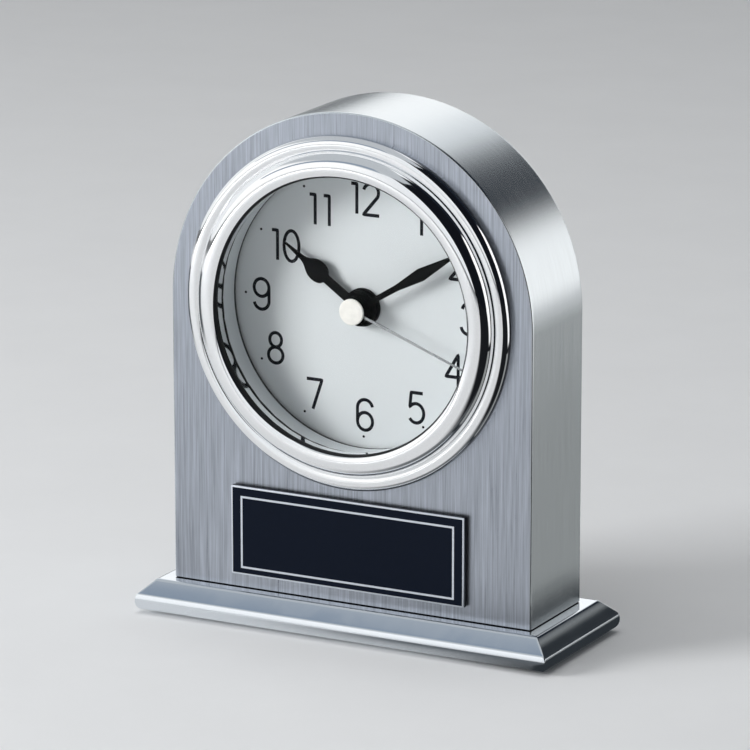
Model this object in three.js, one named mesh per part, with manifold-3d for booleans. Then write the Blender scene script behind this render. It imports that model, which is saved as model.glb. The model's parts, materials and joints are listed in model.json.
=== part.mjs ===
// Arched metal desk clock: a round clock insert in a hollow case on a bevelled base.
// Millimetres. +Z is up, the dial faces -Y, and the origin is under the middle of the base.
import * as THREE from 'three';
import { mergeVertices } from 'three/addons/utils/BufferGeometryUtils.js';
import Module from 'manifold-3d';

const wasm = await Module();
wasm.setup();

// Case
const FACE_MARGIN = 4.2;
const CASE_DEPTH = 22.4;
const CASE_WALL = 2.5;

// Base
const BASE_RIM = 2.65;
const BASE_BEVEL_RUN = 2.4;
const BASE_BEVEL_DROP = 2.5;
const BASE_EDGE_HEIGHT = 3.6;
const BASE_EDGE_BULGE = 1.0;
const BASE_EDGE_TURN = 150;
const PAD_THICKNESS = 0.9;
const PAD_INSET = 2.5;

// Name plate
const NAME_PLATE_WIDTH = 52.2;
const NAME_PLATE_HEIGHT = 18.4;
const NAME_PLATE_THICKNESS = 1.2;
const NAME_PLATE_RISE = 3.1;
const NAME_PLATE_BEZEL_GAP = 2.2;
const TAPE_THICKNESS = 0.3;
const TAPE_INSET = 1.5;

// Bezel, lens and dial
const BEZEL_OPENING_RADIUS = 28.1;
const INNER_ROLL_RADIUS = 2.1;
const OUTER_ROLL_RADIUS = 1.9;
const ROLL_OVERLAP = 0.3;
const INNER_ROLL_RISE = 2.7;
const OUTER_ROLL_RISE = 0.75;
const LENS_LAP = 1.2;
const LENS_RISE = 1.9;
const LENS_THICKNESS = 1.5;
const GASKET_THICKNESS = 0.4;
const DIAL_DEPTH = 6.1;
const DIAL_THICKNESS = 0.5;
const DIAL_RING_STEP = 0.2;
const DIAL_RING_FLARE = 0.35;

// Insert cup and grip ring
const CUP_WALL = 1.3;
const CUP_LEDGE = 1.3;
const CUP_REAR_WALL = 1.5;
const GRIP_THICKNESS = 0.7;

// Rear cover
const COVER_THICKNESS = 2.0;
const COVER_RECESS = 0.6;
const COVER_SCREW_ANGLE = 45;

// Screws
const COVER_SCREW_RADIUS = 1.1;
const COVER_SCREW_LENGTH = 7;
const BASE_SCREW_RADIUS = 1.5;
const BASE_SCREW_LENGTH = 7;
const BASE_SCREW_SPACING = 48;
const MOVEMENT_SCREW_RADIUS = 0.8;
const MOVEMENT_SCREW_LENGTH = 5;
const SCREW_HEAD_RATIO = 1.9;
const SCREW_HEAD_HEIGHT_RATIO = 1.0;

// Movement plates
const PLATE_THICKNESS = 1.2;
const PILLAR_RADIUS = 1.7;
const PILLAR_CIRCLE_RADIUS = 22.5;
const PILLAR_ANGLES = [45, 110, 215];
const BUSH_WALL = 0.6;
const NUT_HEIGHT = 1.0;
const NUT_WALL = 1.2;

// Gear train
const GEAR_THICKNESS = 1.0;
const GEAR_GAP = 0.4;
const TRAIN_MODULE = 0.48;
const MOTION_MODULE = 0.45;
const ROTOR_LEAVES = 6;
const INTERMEDIATE_TEETH = 30;
const INTERMEDIATE_LEAVES = 6;
const SECOND_TEETH = 36;
const SECOND_LEAVES = 6;
const THIRD_TEETH = 45;
const THIRD_LEAVES = 6;
const CENTRE_TEETH = 48;
const CANNON_LEAVES = 10;
const MINUTE_TEETH = 30;
const MINUTE_LEAVES = 8;
const HOUR_TEETH = 32;
const KNOB_LEAVES = 10;
const THIRD_ANGLE = 160;
const INTERMEDIATE_ANGLE = 55;
const ROTOR_ANGLE = -55;
const MINUTE_ANGLE = 210;
const KNOB_ANGLE = 225;
const ARBOR_RADIUS = 0.5;
const PIVOT_CLEARANCE = 0.12;
const TUBE_WALL = 0.5;
const TUBE_CLEARANCE = 0.15;
const ADDENDUM = 0.75;
const DEDENDUM = 1.15;
const TOOTH_ROOT_SHARE = 0.62;
const TOOTH_TIP_SHARE = 0.16;

// Gear layers, counted from the front plate
const HOUR_LAYER = 0;
const MINUTE_LAYER = 1;
const CENTRE_LAYER = 2;
const THIRD_LAYER = 3;
const SECOND_LAYER = 4;
const INTERMEDIATE_LAYER = 5;
const BACK_PLATE_LAYER = 6;

// Step motor
const MAGNET_RADIUS = 2.3;
const MAGNET_THICKNESS = 1.3;
const MAGNET_AIR_GAP = 0.5;
const STATOR_THICKNESS = 0.9;
const STATOR_WIDTH = 7.6;
const STATOR_LENGTH = 17;
const STATOR_ARM_WIDTH = 2.4;
const COIL_OFFSET = 7.2;
const COIL_RADIUS = 1.8;
const CORE_WIDTH = 2.2;
const PIN_RADIUS = 0.6;

// Circuit and cell
const CELL_RADIUS = 5.8;
const CELL_HEIGHT = 5.4;
const CELL_CAP_STEP = 0.7;
const CONTACT_THICKNESS = 0.25;
const CONTACT_WIDTH = 2.2;
const CONTACT_LAP = 2.0;
const BOARD_WIDTH = 7.6;
const BOARD_HEIGHT = 12;
const BOARD_BELOW_CELL = 2;
const BOARD_CORNER_CUT = 5;
const BOARD_THICKNESS = 0.8;
const BOARD_POST_INSET = 1.8;
const CHIP_SIZE = 3.2;
const CHIP_HEIGHT = 0.9;
const CRYSTAL_RADIUS = 1.0;
const CRYSTAL_LENGTH = 6;
const DOOR_LAP = 0.8;
const DOOR_THICKNESS = 1.0;
const DOOR_RIB_LENGTH = 8;
const DOOR_RIB_WIDTH = 1.6;
const DOOR_RIB_HEIGHT = 0.6;

// Set knob
const KNOB_RADIUS = 5;
const KNOB_HEIGHT = 3.2;
const KNOB_FLUTES = 20;
const KNOB_FLUTE_DEPTH = 0.4;
const KNOB_STEM_RADIUS = 1.1;

// Hands, with their rest angles clockwise from twelve
const HOUR_HAND_ANGLE = 304.8;
const HOUR_HAND_LENGTH = 20.1;
const HOUR_HAND_RISE = 1.3;
const HOUR_STEM_WIDTH = 1.8;
const HOUR_BULB_WIDTH = 4.4;
const HOUR_BULB_START = 9.2;
const HOUR_BULB_MIDDLE = 11.4;
const HOUR_NEEDLE_START = 16.3;
const HOUR_NEEDLE_WIDTH = 0.9;
const HOUR_HUB_RADIUS = 3.6;
const MINUTE_HAND_ANGLE = 58.6;
const MINUTE_HAND_LENGTH = 26;
const MINUTE_HAND_RISE = 2.6;
const MINUTE_ROOT_WIDTH = 1.1;
const MINUTE_STEM_WIDTH = 1.25;
const MINUTE_STEM_END = 10.5;
const MINUTE_WIDEST = 2.6;
const MINUTE_WIDEST_AT = 16.6;
const MINUTE_HUB_RADIUS = 2.8;
const SECOND_HAND_ANGLE = 110.9;
const SECOND_HAND_LENGTH = 26;
const SECOND_HAND_RISE = 3.9;
const SECOND_ROOT_WIDTH = 0.55;
const SECOND_HUB_RADIUS = 1.5;
const HAND_TIP_WIDTH = 0.3;
const HUB_THICKNESS = 0.8;
const BLADE_THICKNESS = 0.4;
const CAP_RADIUS = 2.65;
const CAP_THICKNESS = 0.6;

// Clearances and smoothness
const SEAT_GAP = 0.1;
const FIT_GAP = 0.15;
const LOOSE_GAP = 0.4;
const CUT_PAST = 1;
const BIG_ROUND_STEPS = 40;
const ROLL_STEPS = 6;
const SMALL_ROUND_STEPS = 12;
const ARCH_STEPS = 16;
const EDGE_STEPS = 6;

// Planes and radii that follow from the sizes above
const faceY = -CASE_DEPTH / 2;
const rearY = CASE_DEPTH / 2;
const bezelRadius = BEZEL_OPENING_RADIUS + 2 * (INNER_ROLL_RADIUS + OUTER_ROLL_RADIUS) - ROLL_OVERLAP;
const caseHalfWidth = bezelRadius + FACE_MARGIN;
const innerHalfWidth = caseHalfWidth - CASE_WALL;
const baseTopZ = PAD_THICKNESS + BASE_EDGE_HEIGHT + BASE_BEVEL_DROP;
const floorTopZ = baseTopZ + CASE_WALL;
const namePlateTopZ = baseTopZ + NAME_PLATE_RISE + NAME_PLATE_HEIGHT;
const dialCentreZ = namePlateTopZ + NAME_PLATE_BEZEL_GAP + bezelRadius;
const lensRadius = BEZEL_OPENING_RADIUS + LENS_LAP;
const cupInnerRadius = lensRadius + FIT_GAP;
const cupOuterRadius = cupInnerRadius + CUP_WALL;
const boreRadius = cupOuterRadius + GRIP_THICKNESS + 2 * SEAT_GAP;
const dialY = faceY + DIAL_DEPTH;
const plateFrontY = dialY + DIAL_THICKNESS;
const plateBackY = plateFrontY + PLATE_THICKNESS;
const backPlateY = layerFront(BACK_PLATE_LAYER);
const backPlateRearY = backPlateY + PLATE_THICKNESS;
const movementHeadHeight = MOVEMENT_SCREW_RADIUS * SCREW_HEAD_HEIGHT_RATIO;
const cupRearInnerY = backPlateRearY + movementHeadHeight + LOOSE_GAP;
const cupRearY = cupRearInnerY + CUP_REAR_WALL;
const coverRearY = rearY - COVER_RECESS;
const coverFrontY = coverRearY - COVER_THICKNESS;

// Coaxial tubes at the centre, from the second arbor outwards
const secondArborRadius = ARBOR_RADIUS;
const cannonBoreRadius = secondArborRadius + TUBE_CLEARANCE;
const cannonRadius = cannonBoreRadius + TUBE_WALL;
const hourBoreRadius = cannonRadius + TUBE_CLEARANCE;
const hourTubeRadius = hourBoreRadius + TUBE_WALL;
const bushBoreRadius = hourTubeRadius + TUBE_CLEARANCE;
const bushRadius = bushBoreRadius + BUSH_WALL;
const pivotHoleRadius = ARBOR_RADIUS + PIVOT_CLEARANCE;

// Gear centres, seen from the front
const thirdDistance = TRAIN_MODULE * (SECOND_LEAVES + THIRD_TEETH) / 2;
const centreModule = 2 * thirdDistance / (THIRD_LEAVES + CENTRE_TEETH);
const centreTipRadius = tipRadius(CENTRE_TEETH, centreModule);
const intermediateDistance = centreTipRadius + ARBOR_RADIUS + LOOSE_GAP;
const secondModule = 2 * intermediateDistance / (SECOND_TEETH + INTERMEDIATE_LEAVES);
const rotorDistance = TRAIN_MODULE * (INTERMEDIATE_TEETH + ROTOR_LEAVES) / 2;
const minuteDistance = MOTION_MODULE * (CANNON_LEAVES + MINUTE_TEETH) / 2;
const hourModule = 2 * minuteDistance / (MINUTE_LEAVES + HOUR_TEETH);
const knobDistance = MOTION_MODULE * (MINUTE_TEETH + KNOB_LEAVES) / 2;
const centreAxis = new THREE.Vector2(0, 0);
const thirdAxis = polar(centreAxis, thirdDistance, THIRD_ANGLE);
const intermediateAxis = polar(centreAxis, intermediateDistance, INTERMEDIATE_ANGLE);
const rotorAxis = polar(intermediateAxis, rotorDistance, ROTOR_ANGLE);
const minuteAxis = polar(centreAxis, minuteDistance, MINUTE_ANGLE);
const knobAxis = polar(minuteAxis, knobDistance, KNOB_ANGLE);

// Cell, board and motor places
const cellZ = -(centreTipRadius + CELL_RADIUS + LOOSE_GAP);
const cellRearY = cupRearInnerY - LOOSE_GAP;
const cellFrontY = cellRearY - CELL_HEIGHT;
const minusContactBackY = cellFrontY - SEAT_GAP;
const minusContactFrontY = minusContactBackY - CONTACT_THICKNESS;
const cellSeatY = minusContactFrontY - SEAT_GAP;
const boardFrontY = minusContactBackY + SEAT_GAP;
const boardBackY = boardFrontY + BOARD_THICKNESS;
const boardLeft = centreTipRadius + LOOSE_GAP;
const boardRight = boardLeft + BOARD_WIDTH;
const boardBottom = cellZ - BOARD_BELOW_CELL;
const boardTop = boardBottom + BOARD_HEIGHT;
const boardPosts = [
  new THREE.Vector2(boardRight - BOARD_POST_INSET, boardTop - BOARD_POST_INSET),
  new THREE.Vector2(boardLeft + BOARD_POST_INSET, boardTop - BOARD_POST_INSET),
];
const statorFrontY = layerFront(THIRD_LAYER);
const statorBackY = statorFrontY + STATOR_THICKNESS;
const coreFrontY = statorBackY + SEAT_GAP;
const coreBackY = coreFrontY + STATOR_THICKNESS;
const coilX = rotorAxis.x + COIL_OFFSET;
const statorTop = rotorAxis.y + STATOR_LENGTH / 2;
const statorBottom = rotorAxis.y - STATOR_LENGTH / 2;
const statorPosts = [
  new THREE.Vector2(coilX, statorTop - STATOR_ARM_WIDTH / 2),
  new THREE.Vector2(coilX, statorBottom + STATOR_ARM_WIDTH / 2),
];
const doorSeatRadius = CELL_RADIUS + LOOSE_GAP;
const doorHoleRadius = doorSeatRadius + DOOR_LAP;
const doorFrontY = cupRearY - DOOR_THICKNESS;
const pillarPlaces = PILLAR_ANGLES.map((angle) => polar(centreAxis, PILLAR_CIRCLE_RADIUS, angle));

// Rear cover screws stand between the insert cup and the wrap of the case
const bossRoom = innerHalfWidth - cupOuterRadius - LOOSE_GAP;
const bossRadius = bossRoom / 2 + FIT_GAP;
const bossCircleRadius = cupOuterRadius + LOOSE_GAP + bossRadius;
const lowerBossX = innerHalfWidth - bossRadius + FIT_GAP;
const lowerBossZ = floorTopZ + bossRadius - FIT_GAP;
const upperBossX = bossCircleRadius * Math.cos(radians(COVER_SCREW_ANGLE));
const upperBossZ = dialCentreZ + bossCircleRadius * Math.sin(radians(COVER_SCREW_ANGLE));
const coverScrewPlaces = [
  new THREE.Vector2(-upperBossX, upperBossZ),
  new THREE.Vector2(upperBossX, upperBossZ),
  new THREE.Vector2(-lowerBossX, lowerBossZ),
  new THREE.Vector2(lowerBossX, lowerBossZ),
];

function radians(degrees) {
  return THREE.MathUtils.degToRad(degrees);
}

function polar(centre, distance, degrees) {
  const angle = radians(degrees);
  return new THREE.Vector2(centre.x + distance * Math.cos(angle), centre.y + distance * Math.sin(angle));
}

function layerFront(layer) {
  return plateBackY + GEAR_GAP + layer * (GEAR_THICKNESS + GEAR_GAP);
}

function layerBack(layer) {
  return layerFront(layer) + GEAR_THICKNESS;
}

function tipRadius(teeth, gearModule) {
  return gearModule * (teeth / 2 + ADDENDUM);
}

// Merge shared corners, drop empty triangles and turn the faces outwards
function closedBody(source) {
  const bare = source.clone();
  bare.deleteAttribute('normal');
  bare.deleteAttribute('uv');
  const merged = mergeVertices(bare, 1e-4);
  const corners = merged.index.array;
  const place = merged.attributes.position;
  const kept = [];
  const [a, b, c] = [new THREE.Vector3(), new THREE.Vector3(), new THREE.Vector3()];
  let volume = 0;
  for (let i = 0; i < corners.length; i += 3) {
    const [p, q, r] = [corners[i], corners[i + 1], corners[i + 2]];
    if (p === q || q === r || r === p) continue;
    kept.push(p, q, r);
    volume += a.fromBufferAttribute(place, p).dot(
      b.fromBufferAttribute(place, q).cross(c.fromBufferAttribute(place, r)));
  }
  if (volume < 0) kept.reverse();
  merged.setIndex(kept);
  return merged;
}

function toSolid(geometry) {
  const body = closedBody(geometry);
  return new wasm.Manifold(new wasm.Mesh({
    numProp: 3,
    vertProperties: new Float32Array(body.attributes.position.array),
    triVerts: new Uint32Array(body.index.array),
  }));
}

function fromSolid(solid) {
  const mesh = solid.getMesh();
  const geometry = new THREE.BufferGeometry();
  geometry.setAttribute('position', new THREE.BufferAttribute(new Float32Array(mesh.vertProperties), 3));
  geometry.setIndex(new THREE.BufferAttribute(new Uint32Array(mesh.triVerts), 1));
  return geometry;
}

function join(first, ...others) {
  return fromSolid(others.reduce((solid, other) => solid.add(toSolid(other)), toSolid(first)));
}

function cut(first, ...tools) {
  return fromSolid(tools.reduce((solid, tool) => solid.subtract(toSolid(tool)), toSolid(first)));
}

// A flat outline in the plane of the dial, given thickness along Y
function slab(shape, frontY, backY, steps = SMALL_ROUND_STEPS / 2) {
  const geometry = new THREE.ExtrudeGeometry(shape, {
    depth: backY - frontY,
    bevelEnabled: false,
    curveSegments: steps,
  });
  geometry.rotateX(Math.PI / 2);
  geometry.translate(0, backY, 0);
  return geometry;
}

// A round bar along Y
function rod(radius, frontY, backY, at = centreAxis, steps = SMALL_ROUND_STEPS) {
  const geometry = new THREE.CylinderGeometry(radius, radius, backY - frontY, steps);
  geometry.translate(at.x, (frontY + backY) / 2, at.y);
  return geometry;
}

// A round bar along Z
function upright(radius, bottomZ, topZ, x, y) {
  const geometry = new THREE.CylinderGeometry(radius, radius, topZ - bottomZ, SMALL_ROUND_STEPS);
  geometry.rotateX(Math.PI / 2);
  geometry.translate(x, y, (bottomZ + topZ) / 2);
  return geometry;
}

function block(left, right, frontY, backY, bottomZ, topZ) {
  const geometry = new THREE.BoxGeometry(right - left, backY - frontY, topZ - bottomZ);
  geometry.translate((left + right) / 2, (frontY + backY) / 2, (bottomZ + topZ) / 2);
  return geometry;
}

// A turned piece about Y from pairs of radius and depth
function turned(profile, steps = BIG_ROUND_STEPS) {
  return new THREE.LatheGeometry(profile.map(([radius, y]) => new THREE.Vector2(radius, y)), steps);
}

function turnedRing(profile, steps = BIG_ROUND_STEPS) {
  return turned([...profile, profile[0]], steps);
}

function ring(innerRadius, outerRadius, frontY, backY, steps = BIG_ROUND_STEPS) {
  return turnedRing([
    [innerRadius, frontY],
    [outerRadius, frontY],
    [outerRadius, backY],
    [innerRadius, backY],
  ], steps);
}

function archShape(halfWidth, bottomZ) {
  const shape = new THREE.Shape();
  shape.moveTo(-halfWidth, bottomZ);
  shape.lineTo(halfWidth, bottomZ);
  shape.lineTo(halfWidth, dialCentreZ);
  shape.absarc(0, dialCentreZ, halfWidth, 0, Math.PI);
  return shape;
}

// Teeth with straight flanks, with a tooth centred on the phase angle
function gearShape(teeth, gearModule, phase) {
  const tip = tipRadius(teeth, gearModule);
  const root = gearModule * (teeth / 2 - DEDENDUM);
  const pitch = 2 * Math.PI / teeth;
  const points = [];
  for (let i = 0; i < teeth; i += 1) {
    const middle = phase + i * pitch;
    const corners = [
      [root, -TOOTH_ROOT_SHARE],
      [tip, -TOOTH_TIP_SHARE],
      [tip, TOOTH_TIP_SHARE],
      [root, TOOTH_ROOT_SHARE],
    ];
    for (const [radius, share] of corners) {
      const angle = middle + share * pitch / 2;
      points.push(new THREE.Vector2(radius * Math.cos(angle), radius * Math.sin(angle)));
    }
  }
  return new THREE.Shape(points);
}

// The phase that puts a gear in mesh with a neighbour that lies in the given direction from it
function meshPhase(teeth, phase, degrees, neighbourTeeth) {
  const direction = radians(degrees);
  const offset = (direction - phase) * teeth / (2 * Math.PI);
  return direction + Math.PI - (0.5 - offset) * 2 * Math.PI / neighbourTeeth;
}

function gear(teeth, gearModule, phase, layer) {
  return slab(gearShape(teeth, gearModule, phase), layerFront(layer), layerBack(layer));
}

// A screw along Y with its head at the rear, standing on the plane y = 0
function screw(radius, length) {
  const headRadius = radius * SCREW_HEAD_RATIO;
  const headHeight = radius * SCREW_HEAD_HEIGHT_RATIO;
  const body = turned([
    [0, -length],
    [radius, -length],
    [radius, 0],
    [headRadius, 0],
    [headRadius, headHeight],
    [0, headHeight],
  ], SMALL_ROUND_STEPS);
  const slotHalf = radius / 4;
  const slotFloor = headHeight / 2;
  const reach = headRadius + CUT_PAST;
  return cut(body, block(-reach, reach, slotFloor, headHeight + CUT_PAST, -slotHalf, slotHalf));
}

// A block whose rectangle changes from level to level, from pairs of outward offset and height
function steppedBlock(halfX, halfY, levels) {
  const places = [];
  for (const [offset, z] of levels) {
    const x = halfX + offset;
    const y = halfY + offset;
    places.push(-x, -y, z, x, -y, z, x, y, z, -x, y, z);
  }
  const corners = [0, 2, 1, 0, 3, 2];
  const last = 4 * (levels.length - 1);
  corners.push(last, last + 1, last + 2, last, last + 2, last + 3);
  for (let level = 0; level < levels.length - 1; level += 1) {
    for (let side = 0; side < 4; side += 1) {
      const low = 4 * level + side;
      const next = 4 * level + (side + 1) % 4;
      corners.push(low, next, next + 4, low, next + 4, low + 4);
    }
  }
  const geometry = new THREE.BufferGeometry();
  geometry.setAttribute('position', new THREE.Float32BufferAttribute(places, 3));
  geometry.setIndex(corners);
  return geometry;
}

const finishes = {
  brushed: { color: 0xb4b6bd, roughness: 0.38, metalness: 1 },
  polished: { color: 0xd4d7dc, roughness: 0.12, metalness: 1 },
  felt: { color: 0x16181a, roughness: 0.95, metalness: 0 },
  plaque: { color: 0x10131f, roughness: 0.35, metalness: 0.2 },
  tape: { color: 0xd8d4c8, roughness: 0.8, metalness: 0 },
  glass: { color: 0xe8f0f0, roughness: 0.03, metalness: 0, transparent: true, opacity: 0.25 },
  rubber: { color: 0x1a1a1a, roughness: 0.8, metalness: 0 },
  dialWhite: { color: 0xe4e6e8, roughness: 0.5, metalness: 0 },
  handBlack: { color: 0x0a0a0b, roughness: 0.4, metalness: 0 },
  capWhite: { color: 0xf0efec, roughness: 0.4, metalness: 0 },
  steel: { color: 0xb8babd, roughness: 0.3, metalness: 1 },
  brass: { color: 0xc9a552, roughness: 0.35, metalness: 1 },
  copper: { color: 0xb0622c, roughness: 0.4, metalness: 1 },
  blackPlastic: { color: 0x1b1c1e, roughness: 0.55, metalness: 0 },
  palePlastic: { color: 0xd9d6cc, roughness: 0.5, metalness: 0 },
  board: { color: 0x1f5a34, roughness: 0.5, metalness: 0 },
  magnet: { color: 0x4a4c50, roughness: 0.5, metalness: 0.6 },
};

const clock = new THREE.Group();
const insert = new THREE.Group();
insert.position.z = dialCentreZ;
clock.add(insert);

function addPiece(parent, name, geometry, finish) {
  const mesh = new THREE.Mesh(closedBody(geometry), new THREE.MeshStandardMaterial(finishes[finish]));
  mesh.name = name;
  parent.add(mesh);
  return mesh;
}

function groupAt(axis) {
  const group = new THREE.Group();
  group.position.set(axis.x, 0, axis.y);
  insert.add(group);
  return group;
}

// Base, pad and base screws
const baseHalfX = caseHalfWidth + BASE_RIM + BASE_BEVEL_RUN;
const baseHalfY = CASE_DEPTH / 2 + BASE_RIM + BASE_BEVEL_RUN;
const baseScrewHeadHeight = BASE_SCREW_RADIUS * SCREW_HEAD_HEIGHT_RATIO;
const baseScrewSeatZ = PAD_THICKNESS + baseScrewHeadHeight + SEAT_GAP;
const baseScrewXs = [-BASE_SCREW_SPACING / 2, BASE_SCREW_SPACING / 2];

function makeBasePlate() {
  const levels = [];
  for (let i = 0; i <= EDGE_STEPS; i += 1) {
    const turn = radians(BASE_EDGE_TURN) * i / EDGE_STEPS;
    const rise = BASE_EDGE_HEIGHT * (1 - Math.cos(turn)) / 2;
    levels.push([BASE_EDGE_BULGE * Math.sin(turn), PAD_THICKNESS + rise]);
  }
  levels.push([-BASE_BEVEL_RUN, baseTopZ]);
  const holes = [];
  for (const x of baseScrewXs) {
    holes.push(upright(BASE_SCREW_RADIUS + FIT_GAP, 0, baseTopZ + CUT_PAST, x, 0));
    holes.push(upright(BASE_SCREW_RADIUS * SCREW_HEAD_RATIO + FIT_GAP, 0, baseScrewSeatZ, x, 0));
  }
  return cut(steppedBlock(baseHalfX, baseHalfY, levels), ...holes);
}

addPiece(clock, 'base_plate', makeBasePlate(), 'polished');
const padHalfX = baseHalfX - PAD_INSET;
const padHalfY = baseHalfY - PAD_INSET;
addPiece(clock, 'base_pad', block(-padHalfX, padHalfX, -padHalfY, padHalfY, 0, PAD_THICKNESS), 'felt');
for (const [name, x] of [['base_screw_left', baseScrewXs[0]], ['base_screw_right', baseScrewXs[1]]]) {
  const geometry = screw(BASE_SCREW_RADIUS, BASE_SCREW_LENGTH);
  geometry.rotateX(-Math.PI / 2);
  const mesh = addPiece(clock, name, geometry, 'steel');
  mesh.position.set(x, 0, baseScrewSeatZ);
}

// Case body with its bore and screw bosses
function makeCaseBody() {
  const shell = cut(
    slab(archShape(caseHalfWidth, baseTopZ), faceY, rearY, ARCH_STEPS),
    slab(archShape(innerHalfWidth, floorTopZ), faceY + CASE_WALL, rearY + CUT_PAST, ARCH_STEPS),
  );
  const bore = rod(boreRadius, faceY - CUT_PAST, faceY + CASE_WALL, new THREE.Vector2(0, dialCentreZ),
    BIG_ROUND_STEPS);
  const coverBosses = coverScrewPlaces.map((at) => rod(bossRadius, faceY + CASE_WALL / 2, coverFrontY, at));
  const screwReachZ = baseScrewSeatZ + BASE_SCREW_LENGTH;
  const baseBossRadius = BASE_SCREW_RADIUS + CASE_WALL;
  const baseBosses = baseScrewXs.map((x) => (
    upright(baseBossRadius, baseTopZ + CASE_WALL / 2, screwReachZ + LOOSE_GAP, x, 0)));
  const coverHoles = coverScrewPlaces.map((at) => (
    rod(COVER_SCREW_RADIUS + FIT_GAP, coverFrontY - COVER_SCREW_LENGTH, coverFrontY + CUT_PAST, at)));
  const baseHoles = baseScrewXs.map((x) => (
    upright(BASE_SCREW_RADIUS + FIT_GAP, 0, screwReachZ + LOOSE_GAP + CUT_PAST, x, 0)));
  return cut(join(shell, ...coverBosses, ...baseBosses), bore, ...coverHoles, ...baseHoles);
}

addPiece(clock, 'case_body', makeCaseBody(), 'brushed');

// Rear cover and its screws
function makeRearCover() {
  const outline = archShape(innerHalfWidth - FIT_GAP, floorTopZ + FIT_GAP);
  const window = rod(cupOuterRadius + LOOSE_GAP, coverFrontY - CUT_PAST, coverRearY + CUT_PAST,
    new THREE.Vector2(0, dialCentreZ), BIG_ROUND_STEPS);
  const holes = coverScrewPlaces.map((at) => (
    rod(COVER_SCREW_RADIUS + FIT_GAP, coverFrontY - CUT_PAST, coverRearY + CUT_PAST, at)));
  return cut(slab(outline, coverFrontY, coverRearY, ARCH_STEPS), window, ...holes);
}

addPiece(clock, 'rear_cover', makeRearCover(), 'blackPlastic');
coverScrewPlaces.forEach((at, i) => {
  const name = `rear_cover_screw_${i + 1}`;
  const mesh = addPiece(clock, name, screw(COVER_SCREW_RADIUS, COVER_SCREW_LENGTH), 'steel');
  mesh.position.set(at.x, coverRearY, at.y);
});

// Name plate on its tape
const plateHalf = NAME_PLATE_WIDTH / 2;
const tapeFrontY = faceY - TAPE_THICKNESS;
const namePlateBottomZ = baseTopZ + NAME_PLATE_RISE;
addPiece(clock, 'name_plate_tape', block(-plateHalf + TAPE_INSET, plateHalf - TAPE_INSET, tapeFrontY, faceY,
  namePlateBottomZ + TAPE_INSET, namePlateTopZ - TAPE_INSET), 'tape');
addPiece(clock, 'name_plate', block(-plateHalf, plateHalf, tapeFrontY - NAME_PLATE_THICKNESS, tapeFrontY,
  namePlateBottomZ, namePlateTopZ), 'plaque');

// Bezel with its two rolls
function makeBezel() {
  const outerCentre = bezelRadius - OUTER_ROLL_RADIUS;
  const innerCentre = BEZEL_OPENING_RADIUS + INNER_ROLL_RADIUS;
  const grooveRadius = innerCentre + INNER_ROLL_RADIUS;
  const grooveTurn = Math.acos((grooveRadius - outerCentre) / OUTER_ROLL_RADIUS);
  const profile = [];
  for (let i = 0; i <= ROLL_STEPS; i += 1) {
    const turn = grooveTurn * i / ROLL_STEPS;
    const rise = OUTER_ROLL_RISE + OUTER_ROLL_RADIUS * Math.sin(turn);
    profile.push([outerCentre + OUTER_ROLL_RADIUS * Math.cos(turn), faceY - rise]);
  }
  for (let i = 0; i <= ROLL_STEPS; i += 1) {
    const turn = Math.PI * i / ROLL_STEPS;
    const rise = INNER_ROLL_RISE + INNER_ROLL_RADIUS * Math.sin(turn);
    profile.push([innerCentre + INNER_ROLL_RADIUS * Math.cos(turn), faceY - rise]);
  }
  profile.push([BEZEL_OPENING_RADIUS, faceY - LENS_RISE]);
  profile.push([cupInnerRadius, faceY - LENS_RISE]);
  profile.push([cupInnerRadius, faceY]);
  profile.push([bezelRadius, faceY]);
  return turnedRing(profile);
}

addPiece(insert, 'bezel', makeBezel(), 'polished');

// Lens, gasket, dial ring and dial
const lensFrontY = faceY - LENS_RISE;
const lensBackY = lensFrontY + LENS_THICKNESS;
const dialRingFrontY = lensBackY + GASKET_THICKNESS;
const ringFrontRadius = BEZEL_OPENING_RADIUS + DIAL_RING_STEP;
const dialHoleRadius = bushRadius + FIT_GAP;
addPiece(insert, 'lens', rod(lensRadius, lensFrontY, lensBackY, centreAxis, BIG_ROUND_STEPS), 'glass');
addPiece(insert, 'lens_gasket', ring(ringFrontRadius, lensRadius, lensBackY, dialRingFrontY), 'rubber');
addPiece(insert, 'dial_ring', turnedRing([
  [ringFrontRadius, dialRingFrontY],
  [lensRadius, dialRingFrontY],
  [lensRadius, dialY],
  [ringFrontRadius + DIAL_RING_FLARE, dialY],
]), 'dialWhite');
addPiece(insert, 'dial', ring(dialHoleRadius, lensRadius, dialY, plateFrontY), 'dialWhite');

// Insert cup, with the openings for the cell and the set knob in its rear wall
function makeInsertCup() {
  const ledgeRadius = cupInnerRadius - CUP_LEDGE;
  const can = turned([
    [0, cupRearInnerY],
    [ledgeRadius, cupRearInnerY],
    [ledgeRadius, plateBackY],
    [cupInnerRadius, plateBackY],
    [cupInnerRadius, faceY],
    [cupOuterRadius, faceY],
    [cupOuterRadius, cupRearY],
    [0, cupRearY],
  ]);
  const cellAt = new THREE.Vector2(0, cellZ);
  return cut(
    can,
    rod(doorSeatRadius, cupRearInnerY - CUT_PAST, cupRearY + CUT_PAST, cellAt, 2 * SMALL_ROUND_STEPS),
    rod(doorHoleRadius, doorFrontY - SEAT_GAP, cupRearY + CUT_PAST, cellAt, 2 * SMALL_ROUND_STEPS),
    rod(KNOB_STEM_RADIUS + FIT_GAP, cupRearInnerY - CUT_PAST, cupRearY + CUT_PAST, knobAxis),
  );
}

addPiece(insert, 'insert_cup', makeInsertCup(), 'blackPlastic');
const gripInnerRadius = cupOuterRadius + SEAT_GAP;
addPiece(insert, 'grip_ring', ring(gripInnerRadius, gripInnerRadius + GRIP_THICKNESS,
  faceY + SEAT_GAP, faceY + CASE_WALL), 'rubber');

// Movement front plate: bush, pillars, cell seat, posts and pivot holes
const bushFrontY = dialY - NUT_HEIGHT;

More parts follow.
